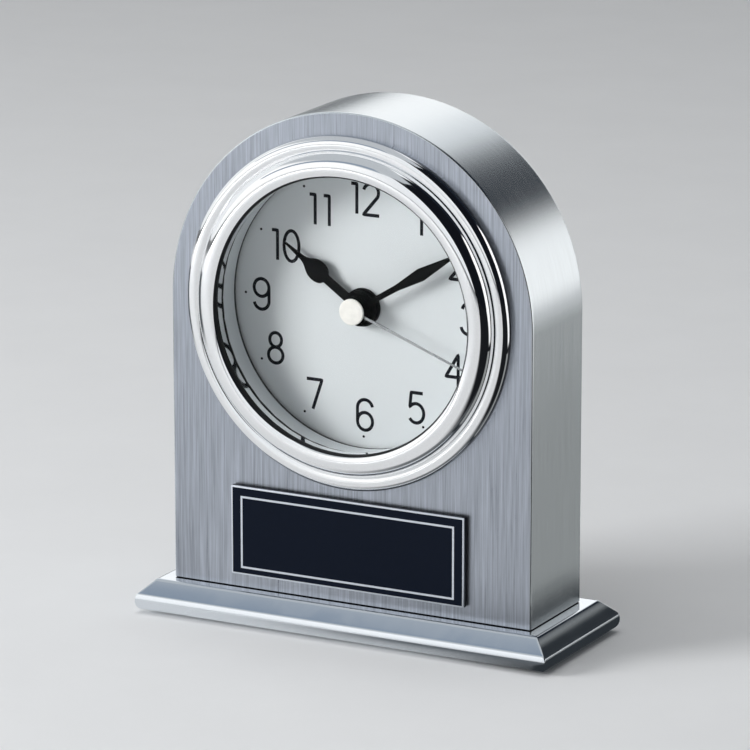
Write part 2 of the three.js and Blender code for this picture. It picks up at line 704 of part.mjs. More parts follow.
function makeFrontPlate() {
  const plate = turnedRing([
    [bushBoreRadius, plateBackY],
    [lensRadius, plateBackY],
    [lensRadius, plateFrontY],
    [bushRadius, plateFrontY],
    [bushRadius, bushFrontY],
    [bushBoreRadius, bushFrontY],
  ]);
  const rootY = plateBackY - PLATE_THICKNESS / 2;
  const stands = pillarPlaces.map((at) => rod(PILLAR_RADIUS, rootY, backPlateY, at));
  stands.push(rod(CELL_RADIUS, rootY, cellSeatY, new THREE.Vector2(0, cellZ), 2 * SMALL_ROUND_STEPS));
  stands.push(rod(ARBOR_RADIUS, rootY, layerBack(MINUTE_LAYER), minuteAxis));
  for (const at of statorPosts) {
    stands.push(rod(PIN_RADIUS * 2, rootY, statorFrontY - SEAT_GAP, at));
    stands.push(rod(PIN_RADIUS, rootY, coreBackY + SEAT_GAP, at));
  }
  for (const at of boardPosts) {
    stands.push(rod(PIN_RADIUS * 2, rootY, boardFrontY - SEAT_GAP, at));
    stands.push(rod(PIN_RADIUS, rootY, boardBackY + SEAT_GAP, at));
  }
  const pivotAxes = [thirdAxis, intermediateAxis, rotorAxis, knobAxis];
  const holes = pivotAxes.map((at) => rod(pivotHoleRadius, rootY, plateBackY + CUT_PAST, at));
  const screwHoleY = backPlateY - MOVEMENT_SCREW_LENGTH;
  for (const at of pillarPlaces) {
    holes.push(rod(MOVEMENT_SCREW_RADIUS + FIT_GAP, screwHoleY, backPlateY + CUT_PAST, at));
  }
  return cut(join(plate, ...stands), ...holes);
}

addPiece(insert, 'movement_front_plate', makeFrontPlate(), 'palePlastic');

// Movement back plate, open round the cell
function makeBackPlate() {
  const outerRadius = PILLAR_CIRCLE_RADIUS + PILLAR_RADIUS;
  const past = [backPlateY - CUT_PAST, backPlateRearY + CUT_PAST];
  const cellRoom = CELL_RADIUS + LOOSE_GAP;
  const holes = [centreAxis, thirdAxis, intermediateAxis, rotorAxis].map((at) => (
    rod(pivotHoleRadius, ...past, at)));
  holes.push(rod(KNOB_STEM_RADIUS + FIT_GAP, ...past, knobAxis));
  for (const at of pillarPlaces) holes.push(rod(MOVEMENT_SCREW_RADIUS + FIT_GAP, ...past, at));
  holes.push(rod(cellRoom, ...past, new THREE.Vector2(0, cellZ), 2 * SMALL_ROUND_STEPS));
  holes.push(block(-cellRoom, cellRoom, ...past, -outerRadius - CUT_PAST, cellZ));
  return cut(rod(outerRadius, backPlateY, backPlateRearY, centreAxis, BIG_ROUND_STEPS), ...holes);
}

addPiece(insert, 'movement_back_plate', makeBackPlate(), 'palePlastic');
pillarPlaces.forEach((at, i) => {
  const name = `movement_screw_${i + 1}`;
  const geometry = screw(MOVEMENT_SCREW_RADIUS, PLATE_THICKNESS + MOVEMENT_SCREW_LENGTH - LOOSE_GAP);
  const mesh = addPiece(insert, name, geometry, 'steel');
  mesh.position.set(at.x, backPlateRearY, at.y);
});

// Dial nut on the bush
function makeDialNut() {
  const boreSize = bushRadius + SEAT_GAP;
  const disc = rod(boreSize + NUT_WALL, bushFrontY, dialY, centreAxis, 2 * SMALL_ROUND_STEPS);
  return cut(disc, rod(boreSize, bushFrontY - CUT_PAST, dialY + CUT_PAST, centreAxis,
    2 * SMALL_ROUND_STEPS));
}

addPiece(insert, 'dial_nut', makeDialNut(), 'handBlack');

// Wheels and pinions, each set in mesh with the one before it
const hourTubeFrontY = dialY - HOUR_HAND_RISE - HUB_THICKNESS;
const cannonFrontY = dialY - MINUTE_HAND_RISE - HUB_THICKNESS;
const secondArborFrontY = dialY - SECOND_HAND_RISE - HUB_THICKNESS;
const frontPivotY = plateBackY - PLATE_THICKNESS / 2 + SEAT_GAP;
const rearPivotY = backPlateRearY - SEAT_GAP;
const thirdWheelPhase = meshPhase(SECOND_LEAVES, 0, THIRD_ANGLE, THIRD_TEETH);
const centreWheelPhase = meshPhase(THIRD_LEAVES, 0, THIRD_ANGLE + 180, CENTRE_TEETH);
const intermediateLeafPhase = meshPhase(SECOND_TEETH, 0, INTERMEDIATE_ANGLE, INTERMEDIATE_LEAVES);
const rotorLeafPhase = meshPhase(INTERMEDIATE_TEETH, 0, ROTOR_ANGLE, ROTOR_LEAVES);
const minuteWheelPhase = meshPhase(CANNON_LEAVES, 0, MINUTE_ANGLE, MINUTE_TEETH);
const hourWheelPhase = meshPhase(MINUTE_LEAVES, 0, MINUTE_ANGLE + 180, HOUR_TEETH);
const knobLeafPhase = meshPhase(MINUTE_TEETH, minuteWheelPhase, KNOB_ANGLE, KNOB_LEAVES);

addPiece(insert, 'second_wheel', join(
  gear(SECOND_TEETH, secondModule, 0, SECOND_LAYER),
  gear(SECOND_LEAVES, TRAIN_MODULE, 0, THIRD_LAYER),
  rod(secondArborRadius, secondArborFrontY, rearPivotY),
), 'brass');

function makeCentreWheel() {
  const body = join(
    gear(CENTRE_TEETH, centreModule, centreWheelPhase, CENTRE_LAYER),
    gear(CANNON_LEAVES, MOTION_MODULE, 0, MINUTE_LAYER),
    rod(cannonRadius, cannonFrontY, layerBack(CENTRE_LAYER) - SEAT_GAP),
  );
  return cut(body, rod(cannonBoreRadius, cannonFrontY - CUT_PAST, layerBack(CENTRE_LAYER) + CUT_PAST));
}

addPiece(insert, 'centre_wheel', makeCentreWheel(), 'brass');

function makeHourWheel() {
  const body = join(
    gear(HOUR_TEETH, hourModule, hourWheelPhase, HOUR_LAYER),
    rod(hourTubeRadius, hourTubeFrontY, layerBack(HOUR_LAYER) - SEAT_GAP),
  );
  return cut(body, rod(hourBoreRadius, hourTubeFrontY - CUT_PAST, layerBack(HOUR_LAYER) + CUT_PAST));
}

addPiece(insert, 'hour_wheel', makeHourWheel(), 'palePlastic');
addPiece(groupAt(thirdAxis), 'third_wheel', join(
  gear(THIRD_TEETH, TRAIN_MODULE, thirdWheelPhase, THIRD_LAYER),
  gear(THIRD_LEAVES, centreModule, 0, CENTRE_LAYER),
  rod(ARBOR_RADIUS, frontPivotY, rearPivotY),
), 'palePlastic');
addPiece(groupAt(intermediateAxis), 'intermediate_wheel', join(
  gear(INTERMEDIATE_TEETH, TRAIN_MODULE, 0, INTERMEDIATE_LAYER),
  gear(INTERMEDIATE_LEAVES, secondModule, intermediateLeafPhase, SECOND_LAYER),
  rod(ARBOR_RADIUS, frontPivotY, rearPivotY),
), 'palePlastic');

function makeMinuteWheel() {
  const body = join(
    gear(MINUTE_TEETH, MOTION_MODULE, minuteWheelPhase, MINUTE_LAYER),
    gear(MINUTE_LEAVES, hourModule, 0, HOUR_LAYER),
    rod(ARBOR_RADIUS + TUBE_WALL, layerFront(HOUR_LAYER) + SEAT_GAP, layerBack(MINUTE_LAYER) - SEAT_GAP),
  );
  return cut(body, rod(pivotHoleRadius, plateBackY, layerBack(MINUTE_LAYER) + CUT_PAST));
}

addPiece(groupAt(minuteAxis), 'minute_wheel', makeMinuteWheel(), 'palePlastic');

// Step motor
const magnetFrontY = (statorFrontY + statorBackY - MAGNET_THICKNESS) / 2;
addPiece(groupAt(rotorAxis), 'rotor', join(
  rod(MAGNET_RADIUS, magnetFrontY, magnetFrontY + MAGNET_THICKNESS),
  gear(ROTOR_LEAVES, TRAIN_MODULE, rotorLeafPhase, INTERMEDIATE_LAYER),
  rod(ARBOR_RADIUS, frontPivotY, rearPivotY),
), 'magnet');

function armShape(left, right, bottom, top) {
  return new THREE.Shape([
    new THREE.Vector2(left, bottom),
    new THREE.Vector2(right, bottom),
    new THREE.Vector2(right, top),
    new THREE.Vector2(left, top),
  ]);
}

const armRight = coilX + CORE_WIDTH / 2;
const statorLeft = rotorAxis.x - STATOR_WIDTH / 2;
const statorRight = rotorAxis.x + STATOR_WIDTH / 2;

function pinHoles(frontY, backY, places) {
  return places.map((at) => rod(PIN_RADIUS + FIT_GAP, frontY - CUT_PAST, backY + CUT_PAST, at));
}

function makeStator() {
  const span = [statorFrontY, statorBackY];
  const plate = join(
    slab(armShape(statorLeft, statorRight, statorBottom, statorTop), ...span),
    slab(armShape(rotorAxis.x, armRight, statorTop - STATOR_ARM_WIDTH, statorTop), ...span),
    slab(armShape(rotorAxis.x, armRight, statorBottom, statorBottom + STATOR_ARM_WIDTH), ...span),
  );
  const rotorHole = rod(MAGNET_RADIUS + MAGNET_AIR_GAP, statorFrontY - CUT_PAST, statorBackY + CUT_PAST,
    rotorAxis, 2 * SMALL_ROUND_STEPS);
  return cut(plate, rotorHole, ...pinHoles(...span, statorPosts));
}

addPiece(insert, 'stator', makeStator(), 'steel');
const core = slab(armShape(coilX - CORE_WIDTH / 2, armRight, statorBottom, statorTop), coreFrontY, coreBackY);
addPiece(insert, 'coil_core', cut(core, ...pinHoles(coreFrontY, coreBackY, statorPosts)), 'steel');

function makeCoilWinding() {
  const bottom = statorBottom + STATOR_ARM_WIDTH + LOOSE_GAP;
  const top = statorTop - STATOR_ARM_WIDTH - LOOSE_GAP;
  const middleY = (coreFrontY + coreBackY) / 2;
  const half = CORE_WIDTH / 2 + SEAT_GAP;
  return cut(
    upright(COIL_RADIUS, bottom, top, coilX, middleY),
    block(coilX - half, coilX + half, coreFrontY - SEAT_GAP, coreBackY + SEAT_GAP,
      bottom - CUT_PAST, top + CUT_PAST),
  );
}

addPiece(insert, 'coil_winding', makeCoilWinding(), 'copper');

// Circuit board, chip and crystal
function makeBoard() {
  const outline = new THREE.Shape([
    new THREE.Vector2(boardLeft, boardBottom),
    new THREE.Vector2(boardRight - BOARD_CORNER_CUT, boardBottom),
    new THREE.Vector2(boardRight, boardBottom + BOARD_CORNER_CUT),
    new THREE.Vector2(boardRight, boardTop),
    new THREE.Vector2(boardLeft, boardTop),
  ]);
  return cut(slab(outline, boardFrontY, boardBackY), ...pinHoles(boardFrontY, boardBackY, boardPosts));
}

addPiece(insert, 'circuit_board', makeBoard(), 'board');
const boardSeatY = boardBackY + SEAT_GAP;
const boardMiddleX = (boardLeft + boardRight) / 2;
const crystalZ = boardTop - 2 * BOARD_POST_INSET - CRYSTAL_RADIUS;
const chipTop = crystalZ - CRYSTAL_RADIUS - LOOSE_GAP;
addPiece(insert, 'clock_chip', block(boardMiddleX - CHIP_SIZE / 2, boardMiddleX + CHIP_SIZE / 2, boardSeatY,
  boardSeatY + CHIP_HEIGHT, chipTop - CHIP_SIZE, chipTop), 'blackPlastic');
const crystal = new THREE.CylinderGeometry(CRYSTAL_RADIUS, CRYSTAL_RADIUS, CRYSTAL_LENGTH, SMALL_ROUND_STEPS);
crystal.rotateZ(Math.PI / 2);
crystal.translate(boardMiddleX, boardSeatY + CRYSTAL_RADIUS, crystalZ);
addPiece(insert, 'quartz_crystal', crystal, 'steel');

// Button cell and its contacts
const button = turned([
  [0, cellFrontY],
  [CELL_RADIUS - CELL_CAP_STEP, cellFrontY],
  [CELL_RADIUS - CELL_CAP_STEP, cellFrontY + CELL_CAP_STEP],
  [CELL_RADIUS, cellFrontY + CELL_CAP_STEP],
  [CELL_RADIUS, cellRearY],
  [0, cellRearY],
], 2 * SMALL_ROUND_STEPS);
button.translate(0, 0, cellZ);
addPiece(insert, 'button_cell', button, 'steel');
const contactBottom = cellZ - CONTACT_WIDTH / 2;
const contactTop = cellZ + CONTACT_WIDTH / 2;
const contactRight = boardLeft + CONTACT_LAP;
addPiece(insert, 'contact_minus', block(-CONTACT_LAP, contactRight, minusContactFrontY, minusContactBackY,
  contactBottom, contactTop), 'brass');
const plusLeft = CELL_RADIUS + FIT_GAP;
addPiece(insert, 'contact_plus', join(
  block(plusLeft, plusLeft + CONTACT_THICKNESS, boardSeatY, backPlateY - LOOSE_GAP, contactBottom,
    contactTop),
  block(plusLeft, contactRight, boardSeatY, boardSeatY + CONTACT_THICKNESS, contactBottom, contactTop),
), 'brass');

// Battery door, which pulls straight off the back
function makeBatteryDoor() {
  const lid = rod(doorHoleRadius - FIT_GAP, doorFrontY, cupRearY, centreAxis, 2 * SMALL_ROUND_STEPS);
  const pad = rod(doorSeatRadius / 2, cellRearY + SEAT_GAP, cupRearY - DOOR_THICKNESS / 2);
  const rib = block(-DOOR_RIB_LENGTH / 2, DOOR_RIB_LENGTH / 2, cupRearY - DOOR_THICKNESS / 2,
    cupRearY + DOOR_RIB_HEIGHT, -DOOR_RIB_WIDTH / 2, DOOR_RIB_WIDTH / 2);
  const geometry = join(lid, pad, rib);
  geometry.translate(0, 0, cellZ);
  return geometry;
}

addPiece(insert, 'battery_door', makeBatteryDoor(), 'blackPlastic');

// Set knob with its stem and pinion
function makeSetKnob() {
  const points = [];
  for (let i = 0; i < 2 * KNOB_FLUTES; i += 1) {
    const radius = i % 2 ? KNOB_RADIUS - KNOB_FLUTE_DEPTH : KNOB_RADIUS;
    points.push(polar(centreAxis, radius, 180 * i / KNOB_FLUTES));
  }
  const knobFrontY = cupRearY + FIT_GAP;
  return join(
    slab(new THREE.Shape(points), knobFrontY, knobFrontY + KNOB_HEIGHT),
    rod(KNOB_STEM_RADIUS, layerBack(MINUTE_LAYER) - SEAT_GAP, knobFrontY + KNOB_HEIGHT / 2),
    gear(KNOB_LEAVES, MOTION_MODULE, knobLeafPhase, MINUTE_LAYER),
    rod(ARBOR_RADIUS, frontPivotY, layerBack(MINUTE_LAYER)),
  );
}

addPiece(groupAt(knobAxis), 'set_knob', makeSetKnob(), 'blackPlastic');

// Hands, drawn pointing at twelve and turned to their rest angles
function mirroredShape(draw) {
  const half = new THREE.Path();
  draw(half);
  const left = half.getPoints(EDGE_STEPS);
  const right = left.map((point) => new THREE.Vector2(-point.x, point.y)).reverse();
  return new THREE.Shape([...left, ...right]);
}

function hourHandShape() {
  return mirroredShape((path) => {
    const stem = -HOUR_STEM_WIDTH / 2;
    const bulb = -HOUR_BULB_WIDTH / 2;
    const needle = -HOUR_NEEDLE_WIDTH / 2;
    const taper = (HOUR_NEEDLE_START - HOUR_BULB_MIDDLE) / 2;
    path.moveTo(stem, 0);
    path.lineTo(stem, HOUR_BULB_START);
    path.quadraticCurveTo(bulb, HOUR_BULB_START, bulb, HOUR_BULB_MIDDLE);
    path.bezierCurveTo(bulb, HOUR_BULB_MIDDLE + taper, needle, HOUR_NEEDLE_START - taper,
      needle, HOUR_NEEDLE_START);
    path.lineTo(-HAND_TIP_WIDTH / 2, HOUR_HAND_LENGTH);
  });
}

function minuteHandShape() {
  return mirroredShape((path) => {
    path.moveTo(-MINUTE_ROOT_WIDTH / 2, 0);
    path.lineTo(-MINUTE_ROOT_WIDTH / 2, MINUTE_HUB_RADIUS);
    path.lineTo(-MINUTE_STEM_WIDTH / 2, MINUTE_STEM_END);
    path.lineTo(-MINUTE_WIDEST / 2, MINUTE_WIDEST_AT);
    path.lineTo(-HAND_TIP_WIDTH / 2, MINUTE_HAND_LENGTH);
  });
}

function secondHandShape() {
  return mirroredShape((path) => {
    path.moveTo(-SECOND_ROOT_WIDTH / 2, 0);
    path.lineTo(-HAND_TIP_WIDTH / 2, SECOND_HAND_LENGTH);
  });
}

function makeHand(shape, rise, hubRadius, boreSize) {
  const hubBackY = dialY - rise;
  const hubFrontY = hubBackY - HUB_THICKNESS;
  const bladeBackY = hubBackY - (HUB_THICKNESS - BLADE_THICKNESS) / 2;
  return cut(
    join(
      rod(hubRadius, hubFrontY, hubBackY, centreAxis, 2 * SMALL_ROUND_STEPS),
      slab(shape, bladeBackY - BLADE_THICKNESS, bladeBackY),
    ),
    rod(boreSize, hubFrontY - CUT_PAST, hubBackY + CUT_PAST),
  );
}

function addHand(name, geometry, degrees, finish) {
  const mesh = addPiece(insert, name, geometry, finish);
  mesh.rotation.y = radians(degrees);
}

const hourHub = hourTubeRadius + TUBE_CLEARANCE;
const minuteHub = cannonRadius + TUBE_CLEARANCE;
const secondHub = secondArborRadius + TUBE_CLEARANCE;
addHand('hour_hand', makeHand(hourHandShape(), HOUR_HAND_RISE, HOUR_HUB_RADIUS, hourHub),
  HOUR_HAND_ANGLE, 'handBlack');
addHand('minute_hand', makeHand(minuteHandShape(), MINUTE_HAND_RISE, MINUTE_HUB_RADIUS, minuteHub),
  MINUTE_HAND_ANGLE, 'handBlack');
addHand('second_hand', makeHand(secondHandShape(), SECOND_HAND_RISE, SECOND_HUB_RADIUS, secondHub),
  SECOND_HAND_ANGLE, 'steel');
const capBackY = secondArborFrontY - SEAT_GAP;
addPiece(insert, 'second_hand_cap', rod(CAP_RADIUS, capBackY - CAP_THICKNESS, capBackY, centreAxis,
  2 * SMALL_ROUND_STEPS), 'capWhite');

export default clock;
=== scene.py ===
"""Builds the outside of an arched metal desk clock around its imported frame, and lights it."""
import json
import math

import bmesh
import bpy
from bpy.props import FloatProperty, FloatVectorProperty, PointerProperty
from bpy.types import Operator, Panel, PropertyGroup
from mathutils import Matrix, Vector
from mathutils.geometry import interpolate_bezier


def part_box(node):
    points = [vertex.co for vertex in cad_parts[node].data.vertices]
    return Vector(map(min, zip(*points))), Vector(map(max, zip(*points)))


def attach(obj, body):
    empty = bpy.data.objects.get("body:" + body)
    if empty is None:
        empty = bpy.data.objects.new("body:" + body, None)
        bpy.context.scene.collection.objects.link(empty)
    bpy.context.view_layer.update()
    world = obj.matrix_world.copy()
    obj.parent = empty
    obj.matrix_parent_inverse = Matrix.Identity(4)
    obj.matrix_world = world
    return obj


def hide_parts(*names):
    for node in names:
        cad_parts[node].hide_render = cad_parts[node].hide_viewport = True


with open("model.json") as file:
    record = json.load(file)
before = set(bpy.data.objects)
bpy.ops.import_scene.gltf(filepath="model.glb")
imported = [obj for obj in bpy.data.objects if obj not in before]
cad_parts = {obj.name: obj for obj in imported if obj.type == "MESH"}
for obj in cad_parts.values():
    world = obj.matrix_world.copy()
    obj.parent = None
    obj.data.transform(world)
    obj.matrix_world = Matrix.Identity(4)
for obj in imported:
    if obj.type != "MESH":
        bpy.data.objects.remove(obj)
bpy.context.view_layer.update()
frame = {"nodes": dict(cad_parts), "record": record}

bl_info = {
    "name": "Arched Desk Clock",
    "version": (1, 0, 0),
    "blender": (4, 5, 0),
    "location": "View3D > Sidebar > Desk Clock",
    "description": "Builds the outside of an arched metal desk clock around its packed frame",
    "category": "Object",
}

MM = 0.001

# Points closer than the first are merged, and loops thinner than the second lie in one plane
MERGE = 0.000004
LEVEL = 0.00001

# How finely round shapes are stepped
RING_STEPS = 160
ARCH_STEPS = 96
FLOOR_STEPS = 96
LID_STEPS = 64
SMALL_RING_STEPS = 40
HOLE_STEPS = 24
STROKE_STEPS = 20
ROLL_STEPS = 18
DOT_STEPS = 16
FLUTE_STEPS = 8
PAD_STEPS = 6
EDGE_STEPS = 5
CORNER_STEPS = 3

# Distance from a round edge to the points that keep the flat next to it flat
HOLD = 0.3 * MM

# Room round pieces that fit into each other, and the chamfer on small pieces
FIT = 0.15 * MM
FINE_EDGE = 0.12 * MM

# The way that flat faces look
FRONT, REAR = (0, -1, 0), (0, 1, 0)
DOWN, UP = (0, 0, -1), (0, 0, 1)

# How squarely a face looks one way to count as flat: on the case, the plate and the bezel's lip
CASE_FLAT = 0.9
PLATE_FLAT = 0.98
LIP_FLAT = 0.62

# Edges that turn by more degrees than this stay sharp
CREASE = 32.0
PRINT_CREASE = 40.0
BEZEL_CREASE = 50.0

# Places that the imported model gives
CASE_LOW, CASE_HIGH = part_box("case_body")
BASE_LOW, BASE_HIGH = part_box("base_plate")
PAD_LOW, PAD_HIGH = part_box("base_pad")
PLATE_LOW, PLATE_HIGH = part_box("name_plate")
BEZEL_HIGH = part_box("bezel")[1]
LENS_LOW, LENS_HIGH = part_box("lens")
RING_LOW, RING_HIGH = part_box("dial_ring")
DIAL_LOW, DIAL_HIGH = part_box("dial")
CUP_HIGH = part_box("insert_cup")[1]
COVER_LOW, COVER_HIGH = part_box("rear_cover")
DOOR_LOW, DOOR_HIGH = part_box("battery_door")
KNOB_LOW, KNOB_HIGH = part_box("set_knob")
CAP_LOW, CAP_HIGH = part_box("second_hand_cap")
GRIP_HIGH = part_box("grip_ring")[1]
NUT_LOW, NUT_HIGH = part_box("dial_nut")
FACE_Y = CASE_LOW.y
REAR_Y = CASE_HIGH.y
DIAL_Y = DIAL_LOW.y
SPRING_Z = CASE_HIGH.z - CASE_HIGH.x
CENTRE = Vector((0, 0, (DIAL_LOW.z + DIAL_HIGH.z) / 2))
DOOR_AT = Vector((0, 0, (DOOR_LOW.z + DOOR_HIGH.z) / 2))
KNOB_AT = Vector(((KNOB_LOW.x + KNOB_HIGH.x) / 2, 0, (KNOB_LOW.z + KNOB_HIGH.z) / 2))

# Numbers of the rear cover's screws
COVER_SCREWS = range(1, 5)

# Middles of the printed numbers on the dial, in millimetres right of and above its centre
NUMBERS = (
    ("12", 0.08, 21.75), ("1", 12.8, 18.85), ("2", 20.7, 10.9), ("3", 23.2, 0.1),
    ("4", 20.1, -10.5), ("5", 11.65, -19.15), ("6", 0.3, -22.05), ("7", -11.1, -19.1),
    ("8", -19.8, -10.7), ("9", -22.95, 0.0), ("10", -17.7, 10.5), ("11", -9.2, 18.6),
)


# Settings


def length(name, description, millimetres):
    """A length that a user may change."""
    return FloatProperty(
        name=name, description=description, default=millimetres * MM, min=0.0,
        unit="LENGTH", precision=5)


def angle(name, description, degrees):
    """An angle that a user may change."""
    return FloatProperty(
        name=name, description=description, default=math.radians(degrees), subtype="ANGLE")


def colour(name, description, red, green, blue):
    """A colour that a user may change."""
    return FloatVectorProperty(
        name=name, description=description, default=(red, green, blue), min=0.0, max=1.0,
        size=3, subtype="COLOR")


def amount(name, description, value):
    """A plain number that a user may change."""
    return FloatProperty(name=name, description=description, default=value, min=0.0)


class CaseSettings(PropertyGroup):
    """Sizes and colours of the arched case."""
    wall: length("Wall", "Thickness of the metal", 2.5)
    edge: length("Edge round", "Round on the front and rear edges", 0.35)
    foot_gap: length("Foot gap", "Height of the dark gap round the foot", 0.2)
    foot_inset: length("Foot inset", "How far in the case stands on the base", 0.3)
    bore_gap: length("Bore gap", "Room between the grip ring and the bore", 0.1)
    front_colour: colour("Front", "Brushed front of the case", 0.405, 0.435, 0.49)
    wrap_colour: colour("Wrap", "Satin sides and top of the case", 0.80, 0.84, 0.86)
    # The seam colour is painted shade: near black on the walls of the foot gap, where shade falls
    seam_colour: colour("Seam", "Dark seam between the case and the base", 0.012, 0.013, 0.015)


class BaseSettings(PropertyGroup):
    """Sizes and colours of the base and its felt pad."""
    bevel_run: length("Bevel run", "Width of the sloping bevel", 2.4)
    edge_height: length("Edge height", "Height of the rounded edge", 3.6)
    edge_bulge: length("Edge bulge", "How far the rounded edge swells out", 1.0)
    edge_turn: angle("Edge turn", "How far the rounded edge turns before the bevel starts", 150.0)
    corner: length("Corner round", "Round on the mitred corners", 0.16)
    screw_spacing: length("Screw spacing", "Distance between the base screws", 48.0)
    screw_hole: length("Screw hole", "Radius of the holes for the base screws", 1.65)
    screw_head: length("Screw head", "Radius of the sinks for the base screws", 3.0)
    screw_seat: length("Screw seat", "Depth of the sinks for the base screws", 1.6)
    corner_ease: amount("Corner ease", "Drop of the rim's edge as a share of its corner round", 0.3)
    pad_corner: length("Pad corner", "Round on the corners of the felt pad", 2.0)
    pad_edge: length("Pad edge", "Round on the lower edge of the felt pad", 0.2)
    metal_colour: colour("Metal", "Polished metal of the base", 0.78, 0.82, 0.86)
    felt_colour: colour("Felt", "Felt pad under the base", 0.016, 0.018, 0.022)


class PlateSettings(PropertyGroup):
    """Sizes and colours of the bare name plate."""
    border_width: length("Border width", "Width of the light border", 47.8)
    border_height: length("Border height", "Height of the light border", 15.0)
    border_drop: length("Border drop", "How far the border sits below the middle", 0.3)
    line: length("Line", "Width of the border's line", 0.42)
    edge: length("Edge round", "Round on the edges of the plate", 0.22)
    rim: length("Rim", "Light rim on the front, inside the round edges", 0.16)
    field_colour: colour("Field", "Dark face of the plate", 0.003, 0.0058, 0.0135)
    line_colour: colour("Border", "Light line of the border", 0.62, 0.66, 0.72)


class BezelSettings(PropertyGroup):
    """Sizes and colours of the bezel and its glass."""
    opening: length("Opening", "Inner radius of the bezel", 27.7)
    crest: length("Crest", "Radius of the crest of the inner roll", 29.56)
    crest_height: length("Crest height", "Height of the inner roll's crest over the case", 4.8)
    inner_roll: length("Inner roll", "Radius of the outer side of the inner roll", 3.13)
    groove_turn: angle("Groove turn", "Steepness of the inner roll where the two rolls meet", 10.0)
    inner_drop: length("Inner drop", "How far the crest falls to the opening's black wall", 1.2)
    bright_edge: length("Bright edge", "Bright foot of the wall at the glass", 1.5)
    outer_roll: length("Outer roll", "Radius of the outer roll", 1.9)
    outer_rise: length("Outer rise", "Height of the outer roll's middle over the case", 0.75)
    glass_edge: length("Glass edge", "Chamfer round the glass", 0.2)
    metal_colour: colour("Metal", "Polished metal of the bezel", 0.90, 0.91, 0.92)
    # The lip colour is partly the lip's own dark finish and partly painted shade at the glass
    lip_colour: colour("Lip", "Blackened inner lip of the bezel", 0.012, 0.013, 0.014)


class DialSettings(PropertyGroup):
    """Sizes and colours of the dial and its print."""
    ring_bore: length("Ring bore", "Radius of the dial ring at the glass", 28.3)
    ring_slope: length("Ring slope", "How far the dial ring widens towards the dial", 0.35)
    ring_gap: length("Ring gap", "Dark gap under the dial ring", 0.3)
    # The ring's dark foot is painted shadow of the gap under the ring
    ring_foot: length("Ring foot", "Dark foot of the dial ring", 0.75)
    number_height: length("Number height", "Height of the numbers, without the stroke", 6.25)
    number_pair: length("Number pair", "Distance between the two figures of a number", 3.15)
    stroke: length("Stroke", "Width of the print", 0.70)
    ink_depth: length("Ink depth", "How far the print stands on the dial", 0.02)
    dot_circle: length("Dot circle", "Distance of the hour dots from the middle", 26.5)
    dot: length("Dot", "Radius of an hour dot", 0.27)
    hole: length("Hole", "Radius of the hole for the centre bush", 2.7)
    nut_wall: length("Nut wall", "Wall of the round nut on the bush", 1.2)
    face_colour: colour("Face", "Pale face of the dial", 0.66, 0.69, 0.705)
    ring_colour: colour("Ring", "Ring round the dial", 0.66, 0.69, 0.71)
    foot_colour: colour("Ring foot", "Dark foot of the ring", 0.02, 0.022, 0.024)
    ink_colour: colour("Ink", "Printed numbers", 0.006, 0.007, 0.010)
    nut_colour: colour("Nut", "Black nut on the bush", 0.003, 0.0034, 0.0038)


class HandSettings(PropertyGroup):
    """Sizes, rest angles and colours of the hands."""
    hour_angle: angle("Hour angle", "Hour hand at rest, from twelve", 304.8)
    hour_length: length("Hour length", "Length of the hour hand", 20.1)
    hour_stem: length("Hour stem", "Width of the hour hand's stem", 1.8)
    hour_bulb: length("Hour bulb", "Width of the hour hand's spade", 4.4)
    hour_bulb_start: length("Spade start", "Where the spade starts", 9.2)
    hour_bulb_middle: length("Spade middle", "Where the spade is widest", 11.4)
    hour_needle_start: length("Needle start", "Where the spade ends in a needle", 16.3)
    hour_needle: length("Needle", "Width of the needle", 0.9)
    minute_angle: angle("Minute angle", "Minute hand at rest, from twelve", 58.6)
    minute_length: length("Minute length", "Length of the minute hand", 26.0)
    minute_root: length("Minute root", "Width of the minute hand at its hub", 1.1)
    minute_stem: length("Minute stem", "Width of the minute hand where its stem ends", 1.25)
    minute_stem_end: length("Minute stem end", "Where the stem of the minute hand ends", 10.5)
    minute_wide: length("Minute width", "Widest part of the minute hand", 2.6)
    minute_wide_at: length("Minute widest at", "Where the minute hand is widest", 16.6)
    second_angle: angle("Second angle", "Second hand at rest, from twelve", 110.9)
    second_length: length("Second length", "Length of the second hand", 26.0)
    second_root: length("Second root", "Width of the second hand at its hub", 0.55)
    tip: length("Tip", "Width of a hand at its tip", 0.3)
    hub_step: length("Hub step", "How far the hub stands in from the hand's rim", 0.3)
    hub_thickness: length("Hub thickness", "Thickness of a hand's hub", 0.8)
    blade_thickness: length("Blade thickness", "Thickness of a hand's blade", 0.4)
    cap_edge: length("Cap edge", "Round on the edge of the cap", 0.18)
    cap_dimple: length("Cap dimple", "Depth of the cap's dimple", 0.04)
    black_colour: colour("Black", "Hour and minute hand", 0.002, 0.0024, 0.0026)
    silver_colour: colour("Silver", "Second hand", 0.38, 0.39, 0.40)
    cap_colour: colour("Cap", "Cap on the second hand", 0.84, 0.82, 0.775)


